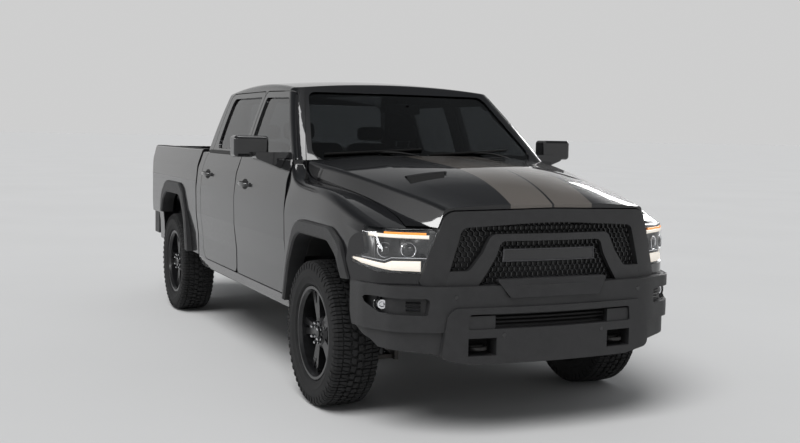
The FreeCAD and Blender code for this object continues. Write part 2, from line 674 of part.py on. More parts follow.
def build_bumper():
    top = BUMPER_TOP_Z - SEAT
    upper = bumper_slab(14.0, 566.0, top)
    skirt = prism([(1010.0, 570.0, 0.0), (1010.0, 540.0, 0.0), (900.0, 474.0, 60.0), (600.0, 446.0, 40.0),
                   (-600.0, 446.0, 40.0), (-900.0, 474.0, 60.0), (-1010.0, 540.0, 0.0),
                   (-1010.0, 570.0, 0.0)], "xz", -3000.0, -2300.0)
    lower = bumper_slab(34.0, 430.0, 566.0).common(skirt)
    guard = prism([(640.0, 430.0, 40.0), (606.0, 690.0, 70.0), (-606.0, 690.0, 70.0), (-640.0, 430.0, 40.0),
                   (-470.0, 396.0, 30.0), (470.0, 396.0, 30.0)], "xz", -3000.0, -2300.0)
    guard = bumper_slab(0.0, 396.0, 700.0).common(guard)
    body = fused([upper, lower, guard]).cut(bumper_slab(110.0, 380.0, 900.0))
    front = Part.makeCompound(solids(bumper_slab(52.0, 380.0, 900.0)))
    slot = [(500.0, 578.0, 12.0), (490.0, 656.0, 12.0), (-490.0, 656.0, 12.0), (-500.0, 578.0, 12.0)]
    cuts = [prism(slot, "xz", -3000.0, -2600.0).cut(front)]
    for points in both_ways(FOG_HOLE):
        cuts.append(prism(points, "xz", -3000.0, -2500.0).cut(front))
    blocks = []
    for x in (TOW_X, -TOW_X):
        cuts.append(box(x - TOW_HALF_X, x + TOW_HALF_X, -3000, -2600, TOW_Z - TOW_HALF_Z, TOW_Z + TOW_HALF_Z))
        block = box(x - 74, x + 74, -3000, -2600, 577, 646)
        blocks.append(block.common(bumper_slab(10.0, 380.0, 900.0)).cut(bumper_slab(70.0, 380.0, 900.0)))
    corner = prism([(-2300.0, 380.0, 0.0), (-2300.0, 640.0, 0.0), (-2404.0, 640.0, 0.0),
                    (-2428.0, 562.0, 60.0), (-2580.0, 506.0, 60.0), (-2680.0, 430.0, 0.0),
                    (-2680.0, 380.0, 0.0)], "yz", 700.0, 1100.0)
    body = body.cut(cuts + [corner, mirrored(corner)]).fuse(blocks)
    face = prism([(-270.0, 738.0, 0.0), (270.0, 738.0, 0.0), (340.0, 832.0, 10.0), (-340.0, 832.0, 10.0)],
                 "xz", -3000.0, -2700.0)
    slope = prism([(FRONT_Y + 4, 738.0, 0.0), (-2874.0, 832.0, 20.0), (-2842.0, 832.0, 0.0),
                   (-2842.0, 738.0, 0.0)], "yz", -400.0, 400.0)
    body = body.fuse(face.common(slope))
    body = body.common(box(-1100, 1100, FRONT_Y, -2404, 380, 900))
    mount = box(RAIL_IN_X - 40, RAIL_OUT_X - 40, -2810, RAIL_FRONT_Y - SEAT, 560, 660)
    body = body.fuse([mount, mirrored(mount)])
    save("front_bumper", main_solid(body.removeSplitter()))


def build_flares():
    found = []
    liners = []
    for name, axle_y in AXLES.items():
        ring = prism(arch(name, 0), "yz", 905.0, FLARE_OUT_X).cut(prism(arch(name, 1), "yz", 890.0, 1100.0))
        low = FLARES[name][0][0][1]
        end = FLARES[name][0][-1][1]
        ring = ring.cut(box(800, 1100, axle_y - 700, axle_y, 370, low))
        ring = ring.cut(box(800, 1100, axle_y, axle_y + 700, 370, end))
        outer_edges = [e for e in ring.Edges if e.BoundBox.XMin > FLARE_OUT_X - 0.1]
        ring = ring.makeChamfer(10.0, outer_edges)
        if name == "front":
            ring = main_solid(ring.common(prism(grown(NOSE_PLAN, 12.0), "xy", 400.0, 1400.0)))
        found += solids(pair(ring))
        outer = prism(arch(name, 1, -0.5), "yz", 540.0, 905.0 - SEAT)
        inner = prism(arch(name, 1, -0.5 - LINER_THICK), "yz", 530.0, 910.0)
        liner = outer.cut([inner, box(500, 1100, axle_y - 900, axle_y + 900, 370, 820)])
        if name == "front":
            liners += solids(pair(liner))
    save("wheel_flares", Part.makeCompound(found))
    save("arch_liners", Part.makeCompound(liners))


BED_SIDE = [
    (BED_INNER_X, 560.0, 0.0), (962.0, 552.0, 20.0), (966.0, 720.0, 300.0), (986.0, 905.0, 80.0),
    (990.0, 1120.0, 600.0), (974.0, 1290.0, 250.0), (930.0, BED_RAIL_Z, 14.0), (BED_INNER_X, BED_RAIL_Z, 10.0),
]
BED_TAIL_PLAN = [
    (0.0, 500.0, 0.0), (1100.0, 500.0, 0.0), (1020.0, 2300.0, 0.0), (985.0, 2640.0, 150.0),
    (900.0, BED_REAR_Y, 90.0), (0.0, BED_REAR_Y + 4, 0.0),
]
TAIL_LAMP = [(2668.0, 1052.0, 25.0), (2900.0, 1052.0, 0.0), (2900.0, 1372.0, 0.0), (2690.0, 1372.0, 40.0)]


def tailgate_pin(slack):
    """The pin that a bed side carries the tailgate on, or its bore when there is slack."""
    centre = BED_REAR_Y - TAILGATE_THICK / 2
    z = BED_FLOOR_Z + TAILGATE_THICK / 2
    end = TAILGATE_X + GAP + 16 + (2 if slack else 0)
    return rod((TAILGATE_X - 2, centre, z), (end, centre, z), 10.0 + slack)


def build_bed():
    wall = prism(BED_SIDE, "xz", BED_FRONT_Y, BED_REAR_Y).common(prism(BED_TAIL_PLAN, "xy", 400, 1600))
    post = box(TAILGATE_X + GAP, BED_INNER_X, BED_REAR_Y - 66, BED_REAR_Y - 14, BED_FLOOR_Z, BED_RAIL_Z)
    wall = wall.fuse(post)
    wall = wall.cut(box(800, 1100, BED_REAR_Y - 400, BED_REAR_Y + 50, 400, 800))
    wall = wall.cut([prism(arch("rear", 0, SEAT), "yz", 880.0, 1100.0),
                     prism(arch("rear", 1), "yz", 800.0, 890.0)])
    tub_out = prism(arch("rear", 1, 70.0), "yz", WHEELHOUSE_X, BED_INNER_X + 20)
    tub_out = tub_out.common(box(0, 1000, 0, 3000, BED_FLOOR_Z, 1300))
    tub_in = prism(arch("rear", 1, 45.0), "yz", WHEELHOUSE_X + 25, 1100.0)
    tub = tub_out.cut(tub_in)
    lamp_zone = prism(TAIL_LAMP, "yz", 800.0, 1100.0)
    lamp_depth = box(TAILGATE_X + GAP + 20, 1100, 2600, 2900, 1000, 1400)
    lamp = wall.common(lamp_zone).common(lamp_depth)
    hole = prism(grown(TAIL_LAMP, SEAT), "yz", TAILGATE_X + GAP + 20 - SEAT, 1100.0)
    side = wall.fuse(tub).cut([hole, tailgate_pin(PIN_GAP)])
    save_both_sides("bed_side", main_solid(side))
    save("tail_lamps", pair(main_solid(lamp)))

    half = BED_INNER_X - SEAT
    floor = box(-half, half, BED_FRONT_Y, BED_REAR_Y - 80, BED_FLOOR_Z - 30, BED_FLOOR_Z)
    front = box(-half, half, BED_FRONT_Y, BED_FRONT_Y + 40, BED_FLOOR_Z, BED_RAIL_Z - 20)
    floor = floor.fuse(front)
    well = prism(arch("rear", 1, 70.0 + SEAT), "yz", WHEELHOUSE_X - SEAT, 1100.0)
    floor = floor.cut([well, mirrored(well)])
    beams = []
    for y in (1000.0, 1240.0, 2110.0, 2600.0):
        beams.append(box(-600, 600, y - 40, y + 40, 760.0 + SEAT, BED_FLOOR_Z - 30))
    save("bed_floor", main_solid(fused([floor] + beams)))

    gate = box(-TAILGATE_X, TAILGATE_X, BED_REAR_Y - TAILGATE_THICK, BED_REAR_Y, BED_FLOOR_Z, BED_RAIL_Z)
    top = [e for e in gate.Edges if e.BoundBox.ZMin > BED_RAIL_Z - 1 and e.BoundBox.YMin > BED_REAR_Y - 1]
    gate = gate.makeFillet(18.0, top)
    low_corner = [e for e in gate.Edges if e.BoundBox.ZMax < BED_FLOOR_Z + 1 and e.BoundBox.XLength > 100]
    gate = gate.makeFillet(14.0, low_corner)
    gate = gate.cut(box(-300, 300, BED_REAR_Y - 8, BED_REAR_Y + 5, BED_RAIL_Z - 130, BED_RAIL_Z - 70))
    pin = tailgate_pin(0.0)
    save("tailgate", main_solid(fused([gate, pin, mirrored(pin)])))


BALL_HOLE_Y = REAR_Y - 102.5
BALL_HOLE_R = 12.7


def build_rear_bumper():
    plan = [(946.0, 2500.0, 0.0), (940.0, 2770.0, 130.0), (800.0, 2886.0, 80.0), (0.0, REAR_Y + 2, 3000.0),
            (-800.0, 2886.0, 80.0), (-940.0, 2770.0, 130.0), (-946.0, 2500.0, 0.0)]
    body = prism(plan, "xy", 590.0, 800.0).cut(prism(grown(plan, -75.0), "xy", 500.0, 780.0))
    body = body.cut(box(-900, 900, 2400, BED_REAR_Y + 16, 500, 900))
    body = body.cut(box(-260, 260, REAR_Y - 26, REAR_Y + 50, 620, 770))
    body = body.common(box(-1100, 1100, 2520, REAR_Y, 500, 800 - SEAT))
    body = body.cut(upright(0.0, BALL_HOLE_Y, 700.0, 900.0, BALL_HOLE_R))
    mount = box(RAIL_IN_X - 40, RAIL_OUT_X - 40, RAIL_REAR_Y + SEAT, REAR_Y - 60, 600, 700)
    save("rear_bumper", main_solid(fused([body, mount, mirrored(mount)])))


def build_frame():
    low = FLOOR_Z - SEAT
    top = [(RAIL_FRONT_Y, 680.0), (-1600.0, 680.0), (-1440.0, low), (CAB_REAR_Y + 20, low), (1200.0, 760.0),
           (2150.0, 760.0), (2330.0, 720.0), (RAIL_REAR_Y, 720.0)]
    side = [(y, z, 30.0 if 0 < i < 7 else 0.0) for i, (y, z) in enumerate(top)]
    side += [(y, z - RAIL_HEIGHT, r) for y, z, r in reversed(side)]
    rail = prism(side, "yz", RAIL_IN_X - 40, RAIL_OUT_X - 40)
    save_both_sides("frame_rail", rail)
    inside = RAIL_IN_X - 40 - SEAT
    cross = []
    for y, z, height in ((-2700, 560, 80), (-940, 562, 36), (-300, 562, 36), (700, 562, 36),
                         (1150, 620, 60), (2300, 600, 70), (2740, 590, 80)):
        cross.append(box(-inside, inside, y - 30, y + 30, z, z + height))
    save("frame_crossmembers", Part.makeCompound(cross))


def revolve_x(points, x=0.0, y=0.0, z=0.0):
    """A solid of revolution about the X axis, from (x, radius) points."""
    wire = Part.makePolygon([Vector(px, 0, r) for px, r in points + points[:1]])
    solid = Part.Face(wire).revolve(Vector(0, 0, 0), Vector(1, 0, 0), 360)
    solid.translate(Vector(x, y, z))
    return solid


def tyre():
    half = TYRE_W / 2
    seat = RIM_W / 2 - 12.3
    right = [
        (half - 22, TYRE_R), (half - 5, TYRE_R - 26), (half, TYRE_R - 80), (half - 10, RIM_R + 42),
        (seat, RIM_R + 18), (seat, RIM_R + 0.3), (seat - 12, RIM_R + 0.3), (seat - 8, RIM_R + 60),
        (half - 26, TYRE_R - 50),
    ]
    wall = right + [(-x, r) for x, r in reversed(right)]
    return revolve_x(wall)


HUB_BORE_R = 34.0
SPINDLE_R = HUB_BORE_R - 0.35
HUB_IN, HUB_OUT = 15.0, 78.0


def rim():
    """A wheel seen from its outer side at +X: a barrel, a hub and paired spokes."""
    half = RIM_W / 2
    barrel = revolve_x([
        (-half, RIM_R + 14), (-half + 8, RIM_R + 14), (-half + 12, RIM_R), (half - 12, RIM_R),
        (half - 8, RIM_R + 14), (half, RIM_R + 14), (half, RIM_R - 2), (half - 20, RIM_R - 14),
        (-half + 14, RIM_R - 14), (-half, RIM_R),
    ])
    hub = revolve_x([
        (HUB_IN, HUB_BORE_R), (HUB_IN, 92.0), (HUB_OUT - 18, 92.0), (HUB_OUT, 74.0), (HUB_OUT, 0.0),
        (HUB_OUT - 16, 0.0), (HUB_OUT - 16, HUB_BORE_R),
    ])
    pieces = [barrel, hub]
    spoke = [(72.0, -26.0, 0.0), (RIM_R - 8, -52.0, 0.0), (RIM_R - 8, -14.0, 0.0), (110.0, 0.0, 10.0),
             (RIM_R - 8, 14.0, 0.0), (RIM_R - 8, 52.0, 0.0), (72.0, 26.0, 0.0)]
    web = [(72.0, -26.0, 0.0), (RIM_R - 8, -50.0, 0.0), (RIM_R - 8, 50.0, 0.0), (72.0, 26.0, 0.0)]
    for i in range(SPOKES):
        arm = prism(spoke, "yz", HUB_OUT - 42, HUB_OUT - 6)
        arm = arm.fuse(prism(web, "yz", HUB_OUT - 42, HUB_OUT - 24))
        arm.rotate(Vector(0, 0, 0), Vector(1, 0, 0), 360.0 * i / SPOKES)
        pieces.append(arm)
    for i in range(6):
        a = 2 * math.pi * i / 6
        pieces.append(Part.makeCylinder(
            10.0, 14.0, Vector(HUB_OUT - 8, LUG_CIRCLE_R * math.cos(a) * 0.8, LUG_CIRCLE_R * math.sin(a) * 0.8),
            Vector(1, 0, 0)))
    return fused(pieces)


def build_wheels():
    for end, y in AXLES.items():
        for name, piece in (("tyre", tyre()), ("rim", rim())):
            piece.translate(Vector(TRACK_HALF, y, TYRE_R))
            save_both_sides(name + "_" + end, piece)


def build_axles():
    z = TYRE_R
    # Knuckle: a bored upright with a spindle and a brake shield; the arms' pins turn in it
    y = FRONT_AXLE_Y
    upright_block = box(KINGPIN_X - 26, KINGPIN_X + 26, y - 45, y + 45, z - 145, z + 145)
    spindle = rod((KINGPIN_X, y, z), (TRACK_HALF + 58, y, z), SPINDLE_R)
    shield = rod((KINGPIN_X + 26, y, z), (KINGPIN_X + 36, y, z), 145.0)
    caliper = box(KINGPIN_X + 20, KINGPIN_X + 60, y + 95, y + 165, z - 80, z + 80)
    knuckle = upright_block.fuse([spindle, shield, caliper])
    for top in (False, True):
        z0 = z + 145 - 40 if top else z - 145 - 1
        z1 = z + 145 + 1 if top else z - 145 + 40
        knuckle = knuckle.cut(upright(KINGPIN_X, y, z0, z1, 14.0 + PIN_GAP))
    save_both_sides("knuckle", main_solid(knuckle.removeSplitter()))

    arms = []
    rail_x = RAIL_OUT_X - 40
    for level, side in ((z - 145 - 32, -1), (z + 145 + 6, 1)):
        arm = box(rail_x + SEAT, KINGPIN_X + 22, y - 32, y + 32, level, level + 26)
        base_z0, base_z1 = (level, 600.0) if side < 0 else (level, level + 60)
        base = box(rail_x + SEAT, rail_x + 24, y - 70, y + 70, base_z0, base_z1)
        pin_z0 = level + 13 if side < 0 else z + 145 - 34
        pin_z1 = z - 145 + 34 if side < 0 else level + 13
        arms.append(arm.fuse([base, upright(KINGPIN_X, y, pin_z0, pin_z1, 14.0)]))
    save("suspension_arms", pair(fused(arms)))

    y = REAR_AXLE_Y
    end, shield, plate = TRACK_HALF + 58, TRACK_HALF - 24, TRACK_HALF - 34
    half = [(55.0, 150.0), (110.0, 125.0), (190.0, 45.0), (plate, 45.0), (plate, 175.0), (shield, 175.0),
            (shield, SPINDLE_R), (end, SPINDLE_R), (end, 0.0)]
    beam = revolve_x(half + [(-x, r) for x, r in reversed(half)], 0.0, y, z)
    nose_case = rod((60, y - 20, z), (60, y - 240, z), 60.0)
    pads = [box(s * 430 - 50, s * 430 + 50, y - 60, y + 60, z + 30, 610.0 - SEAT) for s in (1, -1)]
    save("rear_axle", main_solid(fused([beam, nose_case] + pads)))


def build_underbody():
    inside = RAIL_IN_X - 40 - SEAT
    engine = box(-290, 290, -2190, -1520, 560, 1180)
    feet = box(-inside, inside, -1900, -1800, 600, 650)
    engine = engine.fuse(feet)
    save("engine", engine.fuse(box(-150, 150, -1540, -1000, 470, 600)))
    pipe = [rod((250, -1480, 523.6), (250, 900, 523.6), 38.0), rod((250, 900, 523.6), (330, 1150, 560), 38.0)]
    muffler = box(140, 360, 100, 620, 440, 590)
    tail = rod((330, 1150, 560), (330, 1350, 790), 34.0)
    save("exhaust", fused(pipe + [muffler, Part.makeSphere(38.0, Vector(250, 900, 523.6))]))
    save("fuel_tank", box(-380, -120, -100, 650, 440, FLOOR_Z - SEAT))
    shaft = rod((60, -1100, 516), (60, REAR_AXLE_Y - 140, TYRE_R), 40.0)
    save("driveshafts", shaft.common(box(0, 200, -1000 + SEAT, REAR_AXLE_Y - 240 - SEAT, 300, 700)))


STEER_X = 425.0
STEER_CENTRE = Vector(STEER_X, -880.0, 1180.0)
STEER_TILT = 25.0
COLUMN_R = 40.0
COWL_Z = (1300.0, 1322.0)


def aim_steering(piece):
    """Turns a piece made about Z to the column's line and moves it to the wheel's place."""
    piece.rotate(Vector(0, 0, 0), Vector(1, 0, 0), -90.0 + STEER_TILT)
    piece.translate(STEER_CENTRE)
    return piece


def build_cabin():
    firewall = cabin_space().common(box(-1000, 1000, CAB_FRONT_Y, FIREWALL_Y, FLOOR_Z + SEAT, COWL_Z[1]))
    tray = prism([(812.0, -1470.0, 0.0), (0.0, -1640.0, 2500.0), (-812.0, -1470.0, 0.0),
                  (-812.0, CAB_FRONT_Y, 0.0), (812.0, CAB_FRONT_Y, 0.0)], "xy", *COWL_Z)
    base = GLASSHOUSE_BELT_Z
    sill_top = 1402.0
    rise = Vector(0, 0, sill_top - COWL_Z[0])
    wide = Part.Face(glasshouse_plan(base, GLASS_INSET + 6)).extrude(rise)
    thin = Part.Face(glasshouse_plan(base, GLASS_INSET + 28)).extrude(rise)
    sill = wide.cut(thin)
    sill.translate(Vector(0, 0, COWL_Z[0] - base))
    sill = sill.common(box(-805, 805, -1700, CAB_FRONT_Y, 1000, 1500))
    y, z = HOOD_HINGE
    plate = box(764, 776, y - 13, y + 13, COWL_Z[0], z + 13)
    pin = rod((764, y, z), (804, y, z), HOOD_PIN_R)
    ear = plate.fuse(pin)
    save("cowl", main_solid(fused([firewall, tray, sill, ear, mirrored(ear)])))

    dash = prism([(FIREWALL_Y + SEAT, 1080.0, 0.0), (FIREWALL_Y + SEAT, 1340.0, 40.0),
                  (-1080.0, 1300.0, 60.0), (-1020.0, 1150.0, 60.0), (-1120.0, 980.0, 40.0),
                  (FIREWALL_Y + SEAT, 960.0, 0.0)], "yz", -1000.0, 1000.0).common(cabin_space())
    bore = aim_steering(Part.makeCylinder(COLUMN_R + SEAT, 400.0, Vector(0, 0, -400)))
    save("dashboard", main_solid(dash.cut(bore)))

    seat_z = FLOOR_Z + FLOOR_THICK + SEAT
    seats = []
    for x in (-STEER_X, STEER_X):
        cushion = prism([(-640.0, seat_z, 0.0), (-640.0, 960.0, 60.0), (-100.0, 920.0, 40.0),
                         (-60.0, seat_z, 0.0)], "yz", x - 212, x + 212)
        back = prism([(-200.0, 860.0, 20.0), (-60.0, 1480.0, 50.0), (50.0, 1480.0, 50.0),
                      (-20.0, 860.0, 20.0)], "yz", x - 215, x + 215)
        rest = box(x - 130, x + 130, -40, 60, 1470, 1660)
        seats.append(fused([cushion, back, rest]))
    console = box(-120, 120, -1000, -150, TUNNEL_Z + SEAT, 1010)
    save("front_seats", Part.makeCompound(seats + [console]))
    bench = prism([(250.0, seat_z, 0.0), (250.0, 930.0, 60.0), (640.0, 900.0, 40.0), (700.0, 1500.0, 60.0),
                   (CABIN_REAR_Y - 20, 1500.0, 30.0), (CABIN_REAR_Y - 20, seat_z, 0.0)], "yz", -680.0, 680.0)
    tunnel = box(-TUNNEL_X - 62, TUNNEL_X + 62, 200, 900, 500, TUNNEL_Z + SEAT)
    save("rear_seat", bench.cut(tunnel))


def build_steering_wheel():
    ring = Part.makeTorus(186.0, 15.0)
    hub = Part.makeCylinder(60.0, 50.0, Vector(0, 0, -40))
    bar = box(-186, 186, -18, 18, -12, 12)
    spoke = box(-18, 18, -186, 0, -12, 12)
    bore = Part.makeCylinder(14.0 + PIN_GAP, 30.0, Vector(0, 0, -41))
    wheel = fused([ring, hub, bar, spoke]).cut(bore)
    column = Part.makeCylinder(14.0, 200.0, Vector(0, 0, -212))
    shroud = Part.makeCylinder(COLUMN_R, 170.0, Vector(0, 0, -215))
    save("steering_wheel", aim_steering(wheel))
    save("steering_column", aim_steering(column.fuse(shroud)))


def build_mirrors():
    housing = box(1010, 1235, -1120, -1000, 1404, 1539)
    housing = housing.makeFillet(24.0, housing.Edges)
    foot = prism([(900.0, 1338.0, 0.0), (960.0, 1338.0, 12.0), (1120.0, 1400.0, 30.0), (1120.0, 1436.0, 0.0),
                  (860.0, 1440.0, 0.0)], "xz", -1190.0, -1072.0)
    foot = foot.cut([glasshouse(-SEAT, -20.0), cab_lower(-SEAT, CAB_FRONT_Y, CAB_REAR_Y, 400.0, BELT_Z + 6)])
    save_both_sides("mirror", main_solid(fused([housing, main_solid(foot)])))


build_cab()
build_nose()
build_bumper()
build_flares()
build_bed()
build_rear_bumper()
build_frame()
build_wheels()
build_axles()
build_underbody()
build_cabin()
build_steering_wheel()
build_mirrors()
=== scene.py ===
import math

import bmesh
import bpy
from mathutils import Matrix, Vector
from mathutils.bvhtree import BVHTree


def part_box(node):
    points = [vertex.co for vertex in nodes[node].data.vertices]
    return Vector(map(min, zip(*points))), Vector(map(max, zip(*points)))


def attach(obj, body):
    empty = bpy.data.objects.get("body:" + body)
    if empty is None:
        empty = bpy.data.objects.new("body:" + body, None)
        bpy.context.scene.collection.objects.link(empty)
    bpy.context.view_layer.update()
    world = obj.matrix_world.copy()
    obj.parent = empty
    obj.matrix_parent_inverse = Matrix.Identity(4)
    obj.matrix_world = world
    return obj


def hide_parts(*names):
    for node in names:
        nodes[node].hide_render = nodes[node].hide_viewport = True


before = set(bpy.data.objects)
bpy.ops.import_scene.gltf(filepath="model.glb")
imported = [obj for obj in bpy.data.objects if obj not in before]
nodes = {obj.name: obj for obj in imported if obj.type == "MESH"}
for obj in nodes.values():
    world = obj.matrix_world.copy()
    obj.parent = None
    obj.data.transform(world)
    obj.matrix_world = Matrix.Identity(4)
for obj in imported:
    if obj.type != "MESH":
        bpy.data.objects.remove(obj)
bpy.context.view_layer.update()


# Ladder frame
# Two pressed steel rails and their crossmembers, dipped in black and dusty from the road. They carry
# the cab, the bed and the axles.
def finish(name, colour, rough, metallic=0.0, vary=0.25, grain=60.0, bump=0.0, bump_scale=900.0,
           cells=False, **sockets):
    """A procedural finish: noise shifts its colour and roughness, and a fine relief roughens it."""
    mat = bpy.data.materials.new(name)
    mat.use_nodes = True
    tree = mat.node_tree
    shader = tree.nodes["Principled BSDF"]
    shader.inputs["Metallic"].default_value = metallic
    for key, value in sockets.items():
        shader.inputs[key.replace("_", " ")].default_value = value
    place = tree.nodes.new("ShaderNodeTexCoord")
    noise = tree.nodes.new("ShaderNodeTexNoise")
    noise.inputs["Scale"].default_value = grain
    noise.inputs["Detail"].default_value = 4.0
    tree.links.new(place.outputs["Object"], noise.inputs["Vector"])
    ramp = tree.nodes.new("ShaderNodeValToRGB")
    ramp.name = "shade"
    ramp.color_ramp.elements[0].position = 0.3
    ramp.color_ramp.elements[1].position = 0.7
    ramp.color_ramp.elements[0].color = [c * (1 - vary) for c in colour] + [1.0]
    ramp.color_ramp.elements[1].color = [min(1.0, c * (1 + vary)) for c in colour] + [1.0]
    tree.links.new(noise.outputs["Fac"], ramp.inputs["Fac"])
    tree.links.new(ramp.outputs["Color"], shader.inputs["Base Color"])
    shine = tree.nodes.new("ShaderNodeMapRange")
    shine.name = "shine"
    shine.inputs["To Min"].default_value = rough * 0.85
    shine.inputs["To Max"].default_value = min(1.0, rough * 1.15)
    tree.links.new(noise.outputs["Fac"], shine.inputs["Value"])
    tree.links.new(shine.outputs["Result"], shader.inputs["Roughness"])
    if bump:
        relief = tree.nodes.new("ShaderNodeTexVoronoi" if cells else "ShaderNodeTexNoise")
        relief.inputs["Scale"].default_value = bump_scale
        tree.links.new(place.outputs["Object"], relief.inputs["Vector"])
        push = tree.nodes.new("ShaderNodeBump")
        push.inputs["Strength"].default_value = bump
        push.inputs["Distance"].default_value = 0.001
        tree.links.new(relief.outputs["Distance" if cells else "Fac"], push.inputs["Height"])
        tree.links.new(push.outputs["Normal"], shader.inputs["Normal"])
    return mat


def dress(mat, *names):
    """Gives CAD nodes a finish."""
    for name in names:
        mesh = nodes[name].data
        mesh.materials.clear()
        mesh.materials.append(mat)


steel = finish("chassis_steel", (0.030, 0.029, 0.028), 0.55, metallic=0.4, vary=0.45, grain=12.0,
               bump=0.15, bump_scale=260.0)
dress(steel, "frame_rail_left", "frame_rail_right", "frame_crossmembers", "driveshafts")


# Engine, rear axle, arms and knuckles
# Cast iron and forged steel, rough and a little rusty. The arms hang on the rails, and the knuckles
# turn on the arms' ball joints. The fuel tank is moulded plastic.
iron = finish("cast_iron", (0.075, 0.070, 0.066), 0.6, metallic=0.7, vary=0.45, grain=14.0, bump=0.35,
              bump_scale=420.0)
dress(iron, "engine", "rear_axle", "suspension_arms", "knuckle_left", "knuckle_right")
tank_shell = finish("tank_shell", (0.020, 0.020, 0.021), 0.6, vary=0.3, grain=15.0, bump=0.2,
                    bump_scale=300.0)
dress(tank_shell, "fuel_tank")


# Exhaust
# Aluminised steel pipe with a muffler, clouded by the road. It runs back along the frame.
exhaust_steel = finish("exhaust_steel", (0.34, 0.32, 0.29), 0.36, metallic=1.0, vary=0.3, grain=10.0,
                       bump=0.05, bump_scale=120.0)
dress(exhaust_steel, "exhaust")


# Front springs
# A coil spring round a damper stands on each lower arm and reaches up beside the rail.
UP = Vector((0, 0, 1))
SIDES = (("left", 1), ("right", -1))


def skin(build, rings, mat=0):
    """Faces between closed rings of points that follow one another."""
    for here, there in zip(rings, rings[1:]):
        for i in range(len(here)):
            j = (i + 1) % len(here)
            build.faces.new((here[i], here[j], there[j], there[i])).material_index = mat


def sweep(build, stations, section, mat=0):
    """A closed section of (side, up) points carried through (place, side, up) stations."""
    rings = [[build.verts.new(place + side * a + up * b) for a, b in section] for place, side, up in stations]
    skin(build, rings, mat)
    build.faces.new(list(reversed(rings[0]))).material_index = mat
    build.faces.new(rings[-1]).material_index = mat


def circle(radius, count):
    return [(radius * math.cos(2 * math.pi * i / count), radius * math.sin(2 * math.pi * i / count))
            for i in range(count)]


def turned(build, profile, centre, axis, count=32, mat=0):
    """A surface turned about an axis, from (along, radius) points; closed where the radius is 0."""
    along = Vector(axis).normalized()
    side = along.orthogonal().normalized()
    up = along.cross(side)
    rings = [[build.verts.new(Vector(centre) + along * a + side * u + up * v)
              for u, v in circle(r, count if r else 1)] for a, r in profile]
    for here, there in zip(rings, rings[1:]):
        for i in range(count):
            j = (i + 1) % count
            corners = [here[i % len(here)], here[j % len(here)], there[j % len(there)], there[i % len(there)]]
            corners = [c for n, c in enumerate(corners) if c not in corners[:n]]
            if len(corners) > 2:
                build.faces.new(corners).material_index = mat


def pour(build, part):
    """Empties one mesh in the making into another."""
    shell = bpy.data.meshes.new("shell")
    part.to_mesh(shell)
    part.free()
    build.from_mesh(shell)
    bpy.data.meshes.remove(shell)


def block(build, low, high, edge=0.004, mat=0, turn=None):
    """A box with rounded edges, turned about its middle if a rotation matrix is given."""
    part = bmesh.new()
    bmesh.ops.create_cube(part, size=1.0)
    size = [b - a for a, b in zip(low, high)]
    bmesh.ops.scale(part, vec=size, verts=part.verts)
    if edge:
        bmesh.ops.bevel(part, geom=part.edges[:], offset=min(edge, min(size) * 0.45), segments=3,
                        profile=0.5, affect="EDGES")
    if turn is not None:
        part.transform(turn)
    part.transform(Matrix.Translation([(a + b) / 2 for a, b in zip(low, high)]))
    for face in part.faces:
        face.material_index = mat
    pour(build, part)


def stand(name, data):
    """A new object in the scene."""
    obj = bpy.data.objects.new(name, data)
    bpy.context.scene.collection.objects.link(obj)
    return obj


def add(name, build, mats, body, slot, *replaced, sharp=35.0):
    """Makes the mesh an object that rides on a body and takes the finishes given; the slot is not used."""
    bmesh.ops.recalc_face_normals(build, faces=build.faces)
    mesh = bpy.data.meshes.new(name)
    build.to_mesh(mesh)
    build.free()
    for mat in mats:
        mesh.materials.append(mat)
    mesh.shade_smooth()
    mesh.set_sharp_from_angle(angle=math.radians(sharp))
    obj = stand(name, mesh)
    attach(obj, body)
    if replaced:
        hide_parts(*replaced)
    return obj


def middle_of(node):
    """The middle of a CAD node's box."""
    return Vector([(a + b) / 2 for a, b in zip(*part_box(node))])


COIL_R, COIL_TURNS, COIL_HEIGHT = 0.052, 5.0, 0.285
spring_paint = finish("spring_coat", (0.02, 0.02, 0.021), 0.4, vary=0.3, grain=30.0)
for side, s in SIDES:
    build = bmesh.new()
    foot = Vector((s * 0.560, middle_of("tyre_front_left").y, 0.275))
    stations = []
    for i in range(121):
        a = 2 * math.pi * COIL_TURNS * i / 120
        out = Vector((math.cos(a), math.sin(a), 0))
        stations.append((foot + out * COIL_R + Vector((0, 0, COIL_HEIGHT * i / 120)), out, UP))
    sweep(build, stations, circle(0.007, 8))
    turned(build, [(-0.006, 0), (-0.006, 0.026), (0.200, 0.026), (0.200, 0.012), (0.310, 0.012),
                   (0.310, 0.058), (0.322, 0.058), (0.322, 0)], foot, UP, 24)
    add("spring_" + side, build, [spring_paint], "body", "frame_steel")


# Tyres
# All-terrain tyres with zigzag centre blocks, wide inner blocks and shoulder lugs that run down onto
# the sidewall. One pitch of tread is modelled, and Geometry Nodes repeats it round the carcass.
rubber = finish("tyre_rubber", (0.016, 0.016, 0.0165), 0.78, vary=0.35, grain=18.0, bump=0.2,
                bump_scale=500.0, Specular_IOR_Level=0.3)
TYRE_R = (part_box("tyre_front_left")[1][2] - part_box("tyre_front_left")[0][2]) / 2
WHEELS = [(end, side, s) for end in ("front", "rear") for side, s in SIDES]
PITCHES = 54
TREAD_DEPTH, LUG_EDGE = 0.0135, 0.0015
CROWN_FLAT, CROWN_FALL, BOX_GAP = 0.04, 0.9, 0.0001
SHOULDER_IN, SHOULDER_OUT = 0.089, 0.118
